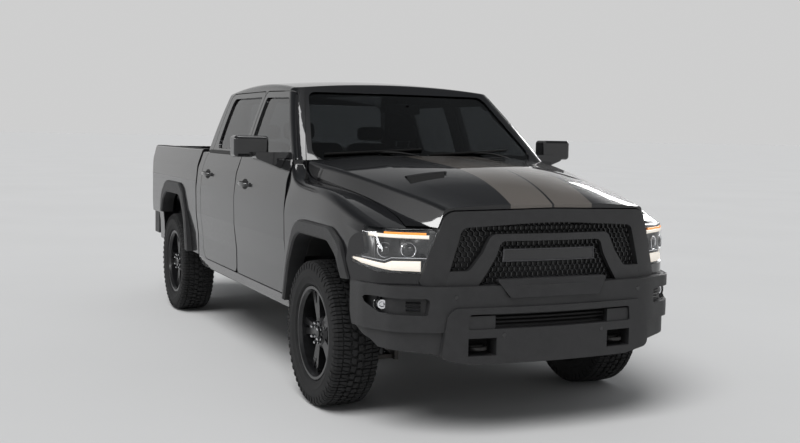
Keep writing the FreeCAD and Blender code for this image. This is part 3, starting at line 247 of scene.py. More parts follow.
# Outlines of the blocks on one half: across in metres, round in pitches
CENTRE_BLOCKS = [
    [(0.004, 0.10), (0.030, 0.02), (0.036, 0.46), (0.022, 0.78), (0.004, 0.70)],
    [(0.041, 0.16), (0.078, 0.02), (0.082, 0.40), (0.046, 0.62)],
    [(0.045, 0.74), (0.083, 0.52), (0.084, 0.86), (0.060, 0.96)],
]
SHOULDER_LUGS = [(0.06, 0.50, 0.1345), (0.58, 0.92, 0.1300)]
SHOULDER_LEAN = 0.03


def repeat(build, part, count, mat, turn=(0, 0, 0), step=(0, 0, 0)):
    """Copies a part by a turn and a step each time with Geometry Nodes, into the build."""
    bmesh.ops.recalc_face_normals(part, faces=part.faces)
    mesh = bpy.data.meshes.new("part")
    part.to_mesh(mesh)
    part.free()
    source = stand("part", mesh)
    group = bpy.data.node_groups.new("repeat", "GeometryNodeTree")
    values = {"Count": count, "Turn": turn, "Step": step}
    for name, way, kind in (("Pitch", "INPUT", "Geometry"), ("Count", "INPUT", "Int"),
                            ("Turn", "INPUT", "Vector"), ("Step", "INPUT", "Vector"),
                            ("Copies", "OUTPUT", "Geometry")):
        group.interface.new_socket(name, in_out=way, socket_type="NodeSocket" + kind)
    enter, leave, line, spread, index, angle, real, coat = [group.nodes.new(kind) for kind in (
        "NodeGroupInput", "NodeGroupOutput", "GeometryNodeMeshLine", "GeometryNodeInstanceOnPoints",
        "GeometryNodeInputIndex", "ShaderNodeVectorMath", "GeometryNodeRealizeInstances",
        "GeometryNodeSetMaterial")]
    angle.operation = "SCALE"
    coat.inputs["Material"].default_value = mat
    for giver, given, taker, taken in (
        (enter, "Count", line, "Count"), (enter, "Step", line, "Offset"), (line, "Mesh", spread, "Points"),
        (enter, "Pitch", spread, "Instance"), (enter, "Turn", angle, 0), (index, "Index", angle, "Scale"),
        (angle, "Vector", spread, "Rotation"), (spread, "Instances", real, "Geometry"),
        (real, "Geometry", coat, "Geometry"), (coat, "Geometry", leave, "Copies"),
    ):
        group.links.new(giver.outputs[given], taker.inputs[taken])
    modifier = source.modifiers.new("repeat", "NODES")
    modifier.node_group = group
    for item in group.interface.items_tree:
        if item.in_out == "INPUT" and item.name in values:
            modifier[item.identifier] = values[item.name]
    graph = bpy.context.evaluated_depsgraph_get()
    copies = bpy.data.meshes.new_from_object(source.evaluated_get(graph))
    source.modifiers.clear()
    bpy.data.objects.remove(source)
    build.from_mesh(copies)
    bpy.data.meshes.remove(copies)


def crown(x):
    """The tread's outer radius across its width, just inside the CAD tyre's box."""
    return TYRE_R - BOX_GAP - CROWN_FALL * max(0.0, abs(x) - CROWN_FLAT) ** 2


def lug(build, corners, base):
    """One tread block from its (x, angle) outline, with a bevelled top edge."""
    cx = sum(x for x, a in corners) / len(corners)
    ca = sum(a for x, a in corners) / len(corners)
    rings = []
    for drop, shrink in ((None, 0.0), (LUG_EDGE, 0.0), (0.0, LUG_EDGE)):
        ring = []
        for x, a in corners:
            px = x - math.copysign(min(abs(x - cx), shrink), x - cx)
            pa = a - math.copysign(min(abs(a - ca), shrink / TYRE_R), a - ca)
            r = base if drop is None else crown(px) - drop
            ring.append(build.verts.new((px, r * math.sin(pa), r * math.cos(pa))))
        rings.append(ring)
    skin(build, rings)
    build.faces.new(rings[-1])


def tread_pitch():
    """One pitch of tread; the blocks of one half stand half a pitch further round."""
    build = bmesh.new()
    pitch = 2 * math.pi / PITCHES
    floor = TYRE_R - TREAD_DEPTH
    for side in (1, -1):
        start = 0.0 if side > 0 else pitch * 0.5
        for corners in CENTRE_BLOCKS:
            lug(build, [(side * x, start + a * pitch) for x, a in corners], floor)
        for a0, a1, reach in SHOULDER_LUGS:
            low, high = start + (a0 - SHOULDER_LEAN) * pitch, start + (a1 - SHOULDER_LEAN) * pitch
            lug(build, [(side * SHOULDER_IN, start + a0 * pitch), (side * SHOULDER_OUT, low),
                        (side * SHOULDER_OUT, high), (side * SHOULDER_IN, start + a1 * pitch)], floor)
            rise = [(side * SHOULDER_OUT, crown(SHOULDER_OUT) - 0.0005), (side * reach, TYRE_R - 0.022),
                    (side * reach, TYRE_R - 0.052), (side * 0.122, TYRE_R - 0.058),
                    (side * 0.112, TYRE_R - 0.018)]
            ends = [[build.verts.new((x, r * math.sin(a), r * math.cos(a))) for x, r in rise]
                    for a in (low, high)]
            build.faces.new(ends[0])
            build.faces.new(list(reversed(ends[1])))
            for i in range(len(rise)):
                j = (i + 1) % len(rise)
                build.faces.new((ends[0][i], ends[1][i], ends[1][j], ends[0][j]))
    return build


TYRE_SIDE = [(0.0, 0.4052), (0.060, 0.4052), (0.100, 0.4040), (0.118, 0.3990), (0.1285, 0.3850),
             (0.1325, 0.3650), (0.1345, 0.3400), (0.1330, 0.3250), (0.1338, 0.3235), (0.1332, 0.3215),
             (0.1290, 0.3020), (0.1240, 0.2880), (0.1245, 0.2865), (0.1235, 0.2850), (0.1160, 0.2760),
             (0.1085, 0.2725), (0.1020, 0.2700), (0.1015, 0.2560), (0.0900, 0.2545)]
for end, side, s in WHEELS:
    node = "tyre_%s_%s" % (end, side)
    build = bmesh.new()
    turned(build, [(-x, r) for x, r in reversed(TYRE_SIDE)] + TYRE_SIDE[1:], (0, 0, 0), (1, 0, 0), 144)
    repeat(build, tread_pitch(), PITCHES, rubber, turn=(2 * math.pi / PITCHES, 0, 0))
    if side == "right":
        build.transform(Matrix.Rotation(math.pi, 4, "Z"))
    build.transform(Matrix.Translation(middle_of(node)))
    add("treaded_" + node, build, [rubber], "wheel_%s_%s" % (end, side), "tyre", node, sharp=40.0)


# Wheels
# Five pairs of spokes in satin black cast aluminium, with bright conical nuts, a bare centre cap and
# a valve. The brake disc turns with each wheel behind the spokes.
wheel_black = finish("wheel_satin", (0.012, 0.012, 0.013), 0.32, metallic=0.3, vary=0.25, grain=30.0,
                     bump=0.03, bump_scale=700.0, Coat_Weight=0.3, Coat_Roughness=0.15)
bright_steel = finish("nut_steel", (0.62, 0.62, 0.63), 0.18, metallic=1.0, vary=0.12, grain=90.0)
disc_steel = finish("brake_steel", (0.13, 0.12, 0.115), 0.42, metallic=1.0, vary=0.3, grain=40.0)
dress(wheel_black, "rim_front_left", "rim_front_right", "rim_rear_left", "rim_rear_right")
NUTS, NUT_CIRCLE_R, HUB_FACE = 6, 0.0559, 0.084
DISC_X = {"front": -0.014, "rear": -0.016}
for end, side, s in WHEELS:
    body = "wheel_%s_%s" % (end, side)
    centre = middle_of("tyre_%s_%s" % (end, side))
    build = bmesh.new()
    for i in range(NUTS):
        a = 2 * math.pi * i / NUTS
        nut = centre + Vector((s * HUB_FACE, NUT_CIRCLE_R * math.sin(a), NUT_CIRCLE_R * math.cos(a)))
        turned(build, [(-0.004, 0.0), (-0.004, 0.0135), (0.004, 0.0130), (0.006, 0.0112),
                       (0.020, 0.0108), (0.024, 0.0070), (0.024, 0.0)], nut, (s, 0, 0), 6)
    cap = centre + Vector((s * 0.078, 0, 0))
    turned(build, [(-0.004, 0.036), (0.010, 0.036), (0.013, 0.033), (0.0135, 0.020), (0.016, 0.0)],
           cap, (s, 0, 0), 40, 1)
    valve = centre + Vector((s * 0.060, 0.0, -0.228))
    turned(build, [(0.0, 0.0), (0.0, 0.006), (0.030, 0.0045), (0.034, 0.0045), (0.034, 0.0)],
           valve, (s * 0.8, 0, 0.6), 12, 1)
    add("wheel_trim_%s_%s" % (end, side), build, [bright_steel, wheel_black], body, "wheel_black")
    build = bmesh.new()
    disc = centre + Vector((s * DISC_X[end], 0, 0))
    turned(build, [(0.012, 0.040), (0.026, 0.078), (0.012, 0.086), (0.012, 0.158), (0.010, 0.160),
                   (-0.004, 0.160), (-0.006, 0.158), (-0.006, 0.040), (0.012, 0.040)], disc, (s, 0, 0), 64)
    add("brake_disc_%s_%s" % (end, side), build, [disc_steel], body, "cast_dark")


# Cab, doors and bed
# Steel panels in deep black with a fine pearl under clear lacquer. The lacquer has a faint orange
# peel.
BLACK = (0.0045, 0.0045, 0.0055)
LACQUER = dict(vary=0.25, grain=600.0, bump=0.015, bump_scale=200.0, Coat_Weight=1.0, Coat_Roughness=0.02,
               Specular_IOR_Level=0.12)
paint = finish("paint_black", BLACK, 0.35, **LACQUER)
dress(paint, "cab_side_left", "cab_side_right", "cab_roof", "cab_back", "fender_left", "fender_right",
      "tailgate", "door_front_left", "door_front_right", "door_rear_left", "door_rear_right",
      "bed_side_left", "bed_side_right")


# Hood
# The same black with two satin graphite stripes, a narrow black line between them, and a slatted
# gloss black vent near each edge.
STRIPE_IN, STRIPE_OUT = 0.007, 0.250
hood_paint = finish("hood_paint", BLACK, 0.35, **LACQUER)
dress(hood_paint, "hood")


def caster(*names):
    """A function that shoots a ray at CAD nodes and returns the place it meets, and the slope if asked."""
    points, faces = [], []
    for name in names:
        mesh = nodes[name].data
        start = len(points)
        points += [v.co.copy() for v in mesh.vertices]
        faces += [[start + i for i in p.vertices] for p in mesh.polygons]
    tree = BVHTree.FromPolygons(points, faces)

    def meet(start, way, slope=False):
        place, normal = tree.ray_cast(Vector(start), Vector(way).normalized())[:2]
        return (place, normal) if slope else place

    return meet


def blend_by(mat, other, rule):
    """Fades a finish into a second colour and gloss where a rule of the object's X, Y and Z says so."""
    tree = mat.node_tree
    shader = tree.nodes["Principled BSDF"]
    place = tree.nodes.new("ShaderNodeTexCoord")
    axes = tree.nodes.new("ShaderNodeSeparateXYZ")
    tree.links.new(place.outputs["Object"], axes.inputs["Vector"])

    def sums(kind, *values):
        node = tree.nodes.new("ShaderNodeMath")
        node.operation = kind
        for socket, value in zip(node.inputs, values):
            if isinstance(value, (int, float)):
                socket.default_value = value
            else:
                tree.links.new(value, socket)
        return node.outputs["Value"]

    mask = rule(sums, axes.outputs["X"], axes.outputs["Y"], axes.outputs["Z"])
    colour, rough, metallic = other
    tint = tree.nodes.new("ShaderNodeMix")
    tint.data_type = "RGBA"
    tree.links.new(mask, tint.inputs["Factor"])
    tree.links.new(tree.nodes["shade"].outputs["Color"], tint.inputs["A"])
    tint.inputs["B"].default_value = list(colour) + [1.0]
    tree.links.new(tint.outputs["Result"], shader.inputs["Base Color"])
    for before, socket, value in ((tree.nodes["shine"].outputs["Result"], "Roughness", rough),
                                  (shader.inputs["Metallic"].default_value, "Metallic", metallic)):
        step = tree.nodes.new("ShaderNodeMix")
        tree.links.new(mask, step.inputs["Factor"])
        if isinstance(before, float):
            step.inputs["A"].default_value = before
        else:
            tree.links.new(before, step.inputs["A"])
        step.inputs["B"].default_value = value
        tree.links.new(step.outputs["Result"], shader.inputs[socket])


def on_stripes(sums, x, y, z):
    out = sums("ABSOLUTE", x)
    return sums("MULTIPLY", sums("GREATER_THAN", out, STRIPE_IN), sums("LESS_THAN", out, STRIPE_OUT))


blend_by(hood_paint, ((0.120, 0.106, 0.094), 0.42, 0.25), on_stripes)
gloss_black = finish("plastic_gloss", (0.010, 0.010, 0.011), 0.14, vary=0.2, grain=20.0, bump=0.02,
                     bump_scale=300.0, Coat_Weight=0.5)
slot_black = finish("slot_black", (0.005, 0.005, 0.005), 0.6, vary=0.3, grain=40.0, bump=0.2,
                    bump_scale=900.0, Specular_IOR_Level=0.2)
# A vent's corners as (x, y) on the left half, and the share of it that the slats take up
VENT = [(0.336, -2.270), (0.400, -2.395), (0.590, -2.330), (0.552, -2.165)]
VENT_MIDDLE = Vector((sum(x for x, y in VENT) / 4, sum(y for x, y in VENT) / 4))
VENT_SHARE, SLATS = 0.88, 7
DOWN = (0, 0, -1)
on_hood = caster("hood")
for side, s in SIDES:
    build = bmesh.new()
    for k in range(SLATS):
        ends = []
        for a, b in ((VENT[0], VENT[1]), (VENT[3], VENT[2])):
            p = VENT_MIDDLE + (Vector(a).lerp(Vector(b), (k + 0.5) / SLATS) - VENT_MIDDLE) * VENT_SHARE
            ends.append(on_hood((s * p.x, p.y, 2.0), DOWN))
        across = (ends[1] - ends[0]).normalized().cross(UP).normalized()
        sweep(build, [(end + UP * 0.001, across, UP) for end in ends],
              [(-0.007, 0.0), (-0.005, 0.001), (0.006, 0.010), (0.007, 0.0095), (0.003, 0.0)])
    add("hood_vent_" + side, build, [slot_black], "hood", "plastic_black")


# Grille surround, bar and mesh
# Dark grey moulded plastic with a fine grain. A honeycomb of black cells fills the opening behind
# the U-shaped bar. Behind the bar the insert is near-black and matte, painted shade for the depth
# seen through the cells, and the long badge place inside the bar is a plain framed plate.
plastic = finish("plastic_grained", (0.021, 0.021, 0.022), 0.5, vary=0.15, grain=25.0, bump=0.3,
                 bump_scale=1400.0, cells=True, Specular_IOR_Level=0.45)
dress(plastic, "grille_surround", "front_bumper", "rear_bumper", "wheel_flares", "cowl")
liner = finish("liner_black", (0.010, 0.010, 0.010), 0.85, vary=0.3, grain=30.0, bump=0.3,
               bump_scale=600.0)
dress(liner, "arch_liners")
insert_paint = finish("insert_plastic", (0.023, 0.023, 0.024), 0.42, vary=0.15, grain=25.0, bump=0.3,
                      bump_scale=1400.0, cells=True, Specular_IOR_Level=0.45)
GRILLE_BOW = 6.5
SHEET_Y, BAR_BACK_Y = -2.819, -2.835


def painted_shade_behind_bar(sums, x, y, z):
    bow = sums("DIVIDE", sums("MULTIPLY", x, x), GRILLE_BOW)
    return sums("GREATER_THAN", sums("SUBTRACT", y, bow), BAR_BACK_Y)


# Near-black and matte behind the bar's back face: painted shade for the depth behind the grille.
blend_by(insert_paint, ((0.004, 0.004, 0.004), 0.6, 0.0), painted_shade_behind_bar)
dress(insert_paint, "grille_insert")
CELL, CELLS, ROW_PAIRS = 0.031, 40, 7
MESH_LOW_Z, MESH_PROUD, MESH_REACH = 0.795, 0.0085, 0.009
cell = bmesh.new()
rings = []
for inset, depth in ((0.0, 0.0), (0.0030, -0.0015), (0.0042, 0.0), (0.0042, 0.008)):
    radius = CELL / math.sqrt(3) - inset
    corners = [(radius * math.sin(math.pi * i / 3), radius * math.cos(math.pi * i / 3)) for i in range(6)]
    rings.append([cell.verts.new((x, depth, z)) for x, z in corners])
skin(cell, rings)
rows = bmesh.new()
repeat(rows, cell, CELLS, gloss_black, step=(CELL, 0, 0))
upper = rows.copy()
upper.transform(Matrix.Translation((CELL / 2, 0, CELL * math.sqrt(3) / 2)))
pour(rows, upper)
build = bmesh.new()
repeat(build, rows, ROW_PAIRS, gloss_black, step=(0, 0, CELL * math.sqrt(3)))
build.transform(Matrix.Translation((-CELLS / 2 * CELL + CELL / 4, 0, MESH_LOW_Z)))
FORWARD, BACK = (0, -1, 0), (0, 1, 0)
at_grille = caster("grille_insert", "grille_surround", "front_bumper")
hidden = []
for face in build.faces:
    middle = face.calc_center_median()
    sheet = SHEET_Y + middle.x ** 2 / GRILLE_BOW
    place = at_grille((middle.x, -3.2, middle.z), BACK)
    if place is None or abs(place.y - sheet) > MESH_REACH:
        hidden.append(face)
bmesh.ops.delete(build, geom=hidden, context="FACES")
for v in build.verts:
    v.co.y += SHEET_Y + v.co.x ** 2 / GRILLE_BOW - MESH_PROUD
add("grille_mesh", build, [gloss_black], "body", "plastic_black", sharp=20.0)

PLATE_HALF, PLATE_LOW, PLATE_HIGH, PLATE_TAPER = 0.285, 0.915, 0.985, 0.98
build = bmesh.new()
rings = []
for grow, depth in ((0.0, 0.0), (0.0, -0.016), (-0.003, -0.018), (-0.007, -0.018), (-0.009, -0.014)):
    half = PLATE_HALF + grow
    outline = [(half * (i / 10 - 1), PLATE_LOW - grow) for i in range(21)]
    outline += [(half * (1 - i / 10) * PLATE_TAPER, PLATE_HIGH + grow) for i in range(21)]
    rings.append([build.verts.new((x, SHEET_Y - 0.004 + x ** 2 / GRILLE_BOW + depth, z)) for x, z in outline])
skin(build, rings[:2])
skin(build, rings[1:], 1)
inner = rings[-1]
for i in range(20):
    build.faces.new((inner[i], inner[i + 1], inner[40 - i], inner[41 - i]))
frame_metal = finish("plate_frame", (0.10, 0.10, 0.105), 0.3, metallic=0.8, vary=0.15, grain=50.0)
add("badge_plate", build, [gloss_black, frame_metal], "body", "plastic_black", sharp=30.0)


# Headlamps
# A clear lens over a black housing: a slim white bar with an amber one above it, two projector lamps,
# and below them a wide white bar that is stepped in the middle, with an amber marker at the side.
lens = finish("lamp_lens", (0.92, 0.94, 0.96), 0.03, metallic=1.0, vary=0.02, grain=5.0, Alpha=0.07)
bezel = finish("lamp_bezel", (0.006, 0.006, 0.0065), 0.25, vary=0.3, grain=80.0, Coat_Weight=0.3)
glow_white = finish("lamp_glow_white", (0.80, 0.76, 0.70), 0.3, vary=0.06, grain=200.0,
                    Emission_Color=(1.0, 0.90, 0.76, 1.0), Emission_Strength=0.42)
glow_amber = finish("lamp_glow_amber", (0.85, 0.28, 0.02), 0.3, vary=0.1, grain=150.0,
                    Emission_Color=(1.0, 0.33, 0.03, 1.0), Emission_Strength=0.55)
chrome = finish("lamp_chrome", (0.8, 0.8, 0.82), 0.08, metallic=1.0, vary=0.05, grain=60.0)
# How deep the lights stand behind the lens, the sizes of a bar's section, and which way each lamp looks
SINK = 0.016
BAR_DEPTH, BAR_SWELL, BAR_RIB, BAR_EDGE = 0.010, 0.003, 0.0015, 0.18
LOOK = {"left": Vector((0.55, -0.83, 0.0)), "right": Vector((-0.55, -0.83, 0.0))}


def lamp_shell(side, s):
    """The lamp solids of one side, welded, and the faces that look out."""
    shell = bmesh.new()
    shell.from_mesh(nodes["headlamps"].data)
    bmesh.ops.delete(shell, geom=[v for v in shell.verts if v.co.x * s < 0], context="VERTS")
    bmesh.ops.remove_doubles(shell, verts=shell.verts, dist=0.00002)
    bmesh.ops.recalc_face_normals(shell, faces=shell.faces)
    return shell, {f for f in shell.faces if f.normal.dot(LOOK[side]) > 0.35 and abs(f.normal.z) < 0.85}


def spot(lamp, side, u, z, lift=0.0):
    """The place in a lamp at a distance u across it and a height, or None beside the lamp."""
    look = LOOK[side]
    start = Vector((math.copysign(0.83, look.x), 0.55, 0.0)) * u + look * 8.0
    start.z = z
    place = lamp.ray_cast(start, -look)[0]
    return None if place is None else place - look * (SINK - lift)


def light_bar(build, lamp, side, points, mat, lift, steps=14):
    """A raised strip that follows the lamp, from (u, low z, high z) points."""
    look = LOOK[side]
    rows = [tuple(a + (b - a) * (i / steps) for a, b in zip(here, there))
            for here, there in zip(points, points[1:]) for i in range(steps)] + [points[-1]]
    last = None
    for n, (u, low, high) in enumerate(rows):
        rise = lift + BAR_RIB * (n % 2)
        foot, head = spot(lamp, side, u, low, rise), spot(lamp, side, u, high, rise)
        if foot is None or head is None:
            last = None
            continue
        edge = UP * ((high - low) * BAR_EDGE)
        ring = [build.verts.new(p) for p in (
            foot - look * BAR_DEPTH, foot, foot + look * BAR_SWELL + edge,
            head + look * BAR_SWELL - edge, head, head - look * BAR_DEPTH)]
        if last:
            for i in range(len(ring) - 1):
                build.faces.new((last[i], last[i + 1], ring[i + 1], ring[i])).material_index = mat
        last = ring


# Each bar's points, its material's place in the list, its lift and its steps between points
LIGHT_BARS = (
    ([(-0.965, 1.036, 1.055), (-0.640, 1.042, 1.060)], 0, 0.006, 44),
    ([(-0.950, 1.055, 1.067), (-0.730, 1.058, 1.069)], 1, 0.005, 30),
    ([(-0.975, 0.868, 0.922), (-0.775, 0.872, 0.920), (-0.735, 0.876, 0.905), (-0.600, 0.895, 0.918),
      (-0.545, 0.912, 0.922)], 0, 0.006, 24),
    ([(-0.607, 0.985, 1.022), (-0.590, 0.985, 1.022)], 1, 0.005, 14),
    ([(-0.985, 0.934, 0.940), (-0.775, 0.934, 0.940), (-0.735, 0.918, 0.924), (-0.600, 0.928, 0.933)],
     2, 0.004, 14),
)
for side, s in SIDES:
    housing, front = lamp_shell(side, s)
    fronts = {v: sum((f.normal for f in v.link_faces if f in front), Vector()).normalized()
              for v in {v for f in front for v in f.verts}}
    for v, out in fronts.items():
        v.co -= out * SINK
    add("lamp_housing_" + side, housing, [bezel], "body", "plastic_black", "headlamps")
    cover, front = lamp_shell(side, s)
    bmesh.ops.delete(cover, geom=[f for f in cover.faces if f not in front], context="FACES")
    lamp = BVHTree.FromBMesh(cover)
    add("lamp_lens_" + side, cover, [lens], "body", "lamp_clear", "headlamps", sharp=60.0)
    build = bmesh.new()
    for points, mat, lift, steps in LIGHT_BARS:
        light_bar(build, lamp, side, points, mat, lift, steps)
    for u, z in ((-0.735, 0.975), (-0.860, 0.978)):
        middle = spot(lamp, side, u, z)
        turned(build, [(-0.02, 0.040), (0.004, 0.040), (0.006, 0.037), (0.004, 0.034), (-0.006, 0.030)],
               middle, LOOK[side], 36, 2)
        turned(build, [(-0.008, 0.031), (0.002, 0.028), (0.008, 0.020), (0.011, 0.0)],
               middle, LOOK[side], 36, 3)
    add("lamp_lights_" + side, build, [glow_white, glow_amber, chrome, gloss_black], "body", "lamp_clear")


# Front bumper
# Grained plastic round a centre panel with a wide dark slot, a tow hook in each lower opening,
# and a small lamp with a slatted insert in each outer pocket. Four round sensors sit in its face.
TOW_X = 0.419
AHEAD_Y = -3.3
on_bumper = caster("front_bumper", "frame_rail_left", "frame_rail_right")


def spread(low, high, count):
    """The ends of so many even steps from low to high."""
    return [low + (high - low) * i / count for i in range(count + 1)]


def run(places, side, up=UP):
    """Stations for a sweep, at places that share a side and an up."""
    return [(Vector(place), Vector(side), up) for place in places]


for side, s in SIDES:
    build = bmesh.new()
    face = Vector((s * 0.36, -0.93, 0)).normalized()
    seat = on_bumper((s * 0.872, AHEAD_Y, 0.694), BACK) + face * 0.002
    turned(build, [(-0.02, 0.047), (0.010, 0.047), (0.014, 0.044), (0.012, 0.040), (0.000, 0.036)],
           seat, face, 40, 0)
    turned(build, [(-0.004, 0.037), (0.004, 0.035), (0.010, 0.026), (0.013, 0.0)], seat, face, 36, 1)
    turned(build, [(-0.001, 0.030), (0.012, 0.024), (0.0125, 0.015), (0.005, 0.011), (0.005, 0.0)],
           seat, face, 30, 2)
    for z in (0.676, 0.694, 0.712):
        slat = [on_bumper((s * x, AHEAD_Y, z), BACK) + Vector((0, -0.001, 0)) for x in (0.725, 0.757, 0.789)]
        sweep(build, run(slat, FORWARD), [(-0.004, -0.005), (0.010, -0.005), (0.014, -0.001), (0.010, 0.005),
                                          (-0.004, 0.005)])
    add("fog_lamp_" + side, build, [gloss_black, lens, chrome], "body", "lamp_clear")
    build = bmesh.new()
    hook = []
    for a in spread(0.0, math.pi, 14):
        hook.append((Vector((s * TOW_X - 0.048 * math.cos(a), -2.808 - 0.058 * math.sin(a), 0.474)),
                     Vector((-math.cos(a), -math.sin(a), 0)), UP))
    sweep(build, hook, circle(0.010, 10))
    block(build, (s * TOW_X - 0.058, -2.815, 0.462), (s * TOW_X + 0.058, -2.795, 0.486), 0.006)
    add("tow_hook_" + side, build, [steel], "body", "frame_steel")
    build = bmesh.new()
    pocket = ((0.084, 0.052, -2.872), (0.084, 0.052, -2.790), (0.070, 0.040, -2.782))
    rings = [[build.verts.new((s * TOW_X + a * half_x, y, 0.487 + b * half_z))
              for a, b in ((-1, -1), (1, -1), (1, 1), (-1, 1))] for half_x, half_z, y in pocket]
    skin(build, rings)
    build.faces.new(rings[-1])
    add("tow_pocket_" + side, build, [slot_black], "body", "plastic_black")
    build = bmesh.new()
    for x, z in ((0.560, 0.745), (0.300, 0.545)):
        turned(build, [(-0.002, 0.0125), (0.001, 0.0125), (0.0018, 0.0115), (0.0018, 0.0)],
               *on_bumper((s * x, AHEAD_Y, z), BACK, slope=True), 24)
    add("park_sensors_" + side, build, [gloss_black], "body", "plastic_black")
build = bmesh.new()
for z in (0.597, 0.617, 0.637):
    slat = [on_bumper((x, AHEAD_Y, z), BACK) + Vector((0, -0.002, 0)) for x in spread(-0.335, 0.335, 16)]
    sweep(build, run(slat, FORWARD),
          [(0.0, -0.004), (0.020, -0.003), (0.024, 0.0), (0.020, 0.003), (0.0, 0.004)])
add("bumper_slats", build, [slot_black], "body", "plastic_black")


# Door handles, belt strips and filler flap
# Each door has a bowed pull handle over an oval cup, and a black strip seals the foot of each window.
# The cup is a near-flat patch in matte black, painted shade for its hollow.
# A round-cornered fuel flap lies on the left bed side. The first list is the pull's bow, as (along
# the door, out from it).
STRAP = [(-0.105, 0.000), (-0.100, 0.012), (-0.088, 0.024), (-0.060, 0.032), (0.0, 0.035), (0.060, 0.032),
         (0.088, 0.024), (0.100, 0.012), (0.105, 0.000)]
ASIDE_X = 1.6


def patch(build, meet, centre, half, lift, s, rows=8, cols=16, dish=0.0, mat=0):
    """A round-cornered patch that follows a side panel, dished in the middle."""
    grid = []
    for i in range(rows + 1):
        line = []
        for j in range(cols + 1):
            v, u = 2 * i / rows - 1, 2 * j / cols - 1
            squeeze = (1 - abs(v) ** 3.0 * 0.35) if cols > rows else 1.0
            squash = 1 - abs(u) ** 4.0 * 0.45
            y, z = centre[0] + half[0] * u * squeeze, centre[1] + half[1] * v * squash
            place = meet((s * ASIDE_X, y, z), (-s, 0, 0))
            rise = lift * (1 - max(abs(u), abs(v)) ** 12) - dish * max(0.0, 1 - u * u) * max(0.0, 1 - v * v)
            line.append(build.verts.new(place + Vector((s * rise, 0, 0))))
        grid.append(line)
    for a, b in zip(grid, grid[1:]):
        for j in range(cols):
            build.faces.new((a[j], a[j + 1], b[j + 1], b[j])).material_index = mat


rubber_seal = finish("seal_rubber", (0.008, 0.008, 0.008), 0.6, vary=0.2, grain=60.0, bump=0.1,
                     bump_scale=700.0)
for door, place_y, place_z, belt in (("front", -0.474, 1.203, (-1.150, -0.275)),
                                     ("rear", 0.560, 1.230, (-0.180, 0.690))):
    for side, s in SIDES:
        body = "door_%s_%s" % (door, side)
        inwards, outwards = (-s, 0, 0), (s, 0, 0)
        meet = caster(body)
        build = bmesh.new()
        # The cup: a patch raised 1.5 mm off the door in matte black, painted shade for the hollow under the
        # handle.
        patch(build, meet, (place_y, place_z), (0.086, 0.036), 0.0015, s, mat=1)
        foot = meet((s * ASIDE_X, place_y, place_z), inwards)
        strap = [(foot.x + s * (out - 0.004), place_y + along, place_z) for along, out in STRAP]
        sweep(build, run(strap, outwards),
              [(-0.006, -0.010), (0.004, -0.014), (0.008, -0.008), (0.008, 0.008), (0.004, 0.014),
               (-0.006, 0.010)])
        if door == "front":
            turned(build, [(-0.002, 0.011), (0.003, 0.011), (0.004, 0.009), (0.004, 0.0)],
                   meet((s * ASIDE_X, place_y + 0.128, place_z), inwards), outwards, 24)
        add("handle_%s_%s" % (door, side), build, [gloss_black, slot_black], body, "plastic_black")
        build = bmesh.new()
        strip = [(meet((s * ASIDE_X, y, 1.392), inwards).x, y, 1.403) for y in spread(*belt, 12)]
        sweep(build, run(strip, outwards),
              [(-0.020, -0.008), (0.002, -0.010), (0.0045, 0.000), (0.001, 0.011), (-0.016, 0.014)])
        add("belt_strip_%s_%s" % (door, side), build, [rubber_seal], body, "plastic_black")
on_bed = caster("bed_side_left")
build = bmesh.new()
patch(build, on_bed, (1.130, 1.190), (0.092, 0.092), 0.0008, 1, 12, 12, mat=1)
patch(build, on_bed, (1.130, 1.190), (0.088, 0.088), 0.0022, 1, 12, 12)
add("fuel_flap", build, [paint, slot_black], "body", "paint_black")


# Mirrors
# Wide housings in gloss black stand out on arms from the front doors, each with a framed silvered
# glass that faces back.
mirror_glass = finish("mirror_silver", (0.72, 0.74, 0.76), 0.04, metallic=1.0, vary=0.03, grain=20.0)
MIRROR_MIDDLE, MIRROR_HALF, SQUARENESS = (1.124, 1.472), (0.094, 0.054), 0.35
for side, s in SIDES:
    back_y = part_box("mirror_" + side)[1].y
    meet = caster("mirror_" + side)
    build = bmesh.new()
    rings = []
    for inset, depth in ((0.0, 0.0002), (0.002, 0.004), (0.006, 0.0045), (0.009, 0.002)):
        ring = []
        for cu, cv in circle(1.0, 24):
            x = MIRROR_MIDDLE[0] + (MIRROR_HALF[0] - inset) * math.copysign(abs(cu) ** SQUARENESS, cu)
            z = MIRROR_MIDDLE[1] + (MIRROR_HALF[1] - inset) * math.copysign(abs(cv) ** SQUARENESS, cv)
            place = meet((s * x, -0.5, z), FORWARD)
            y = back_y if place is None else place.y
            ring.append(build.verts.new((s * x, y + depth, z)))
        rings.append(ring)
    skin(build, rings, 1)
    build.faces.new(rings[-1])
    add("mirror_glass_" + side, build, [mirror_glass, gloss_black], "door_front_" + side, "plastic_black")
dress(gloss_black, "mirror_left", "mirror_right")


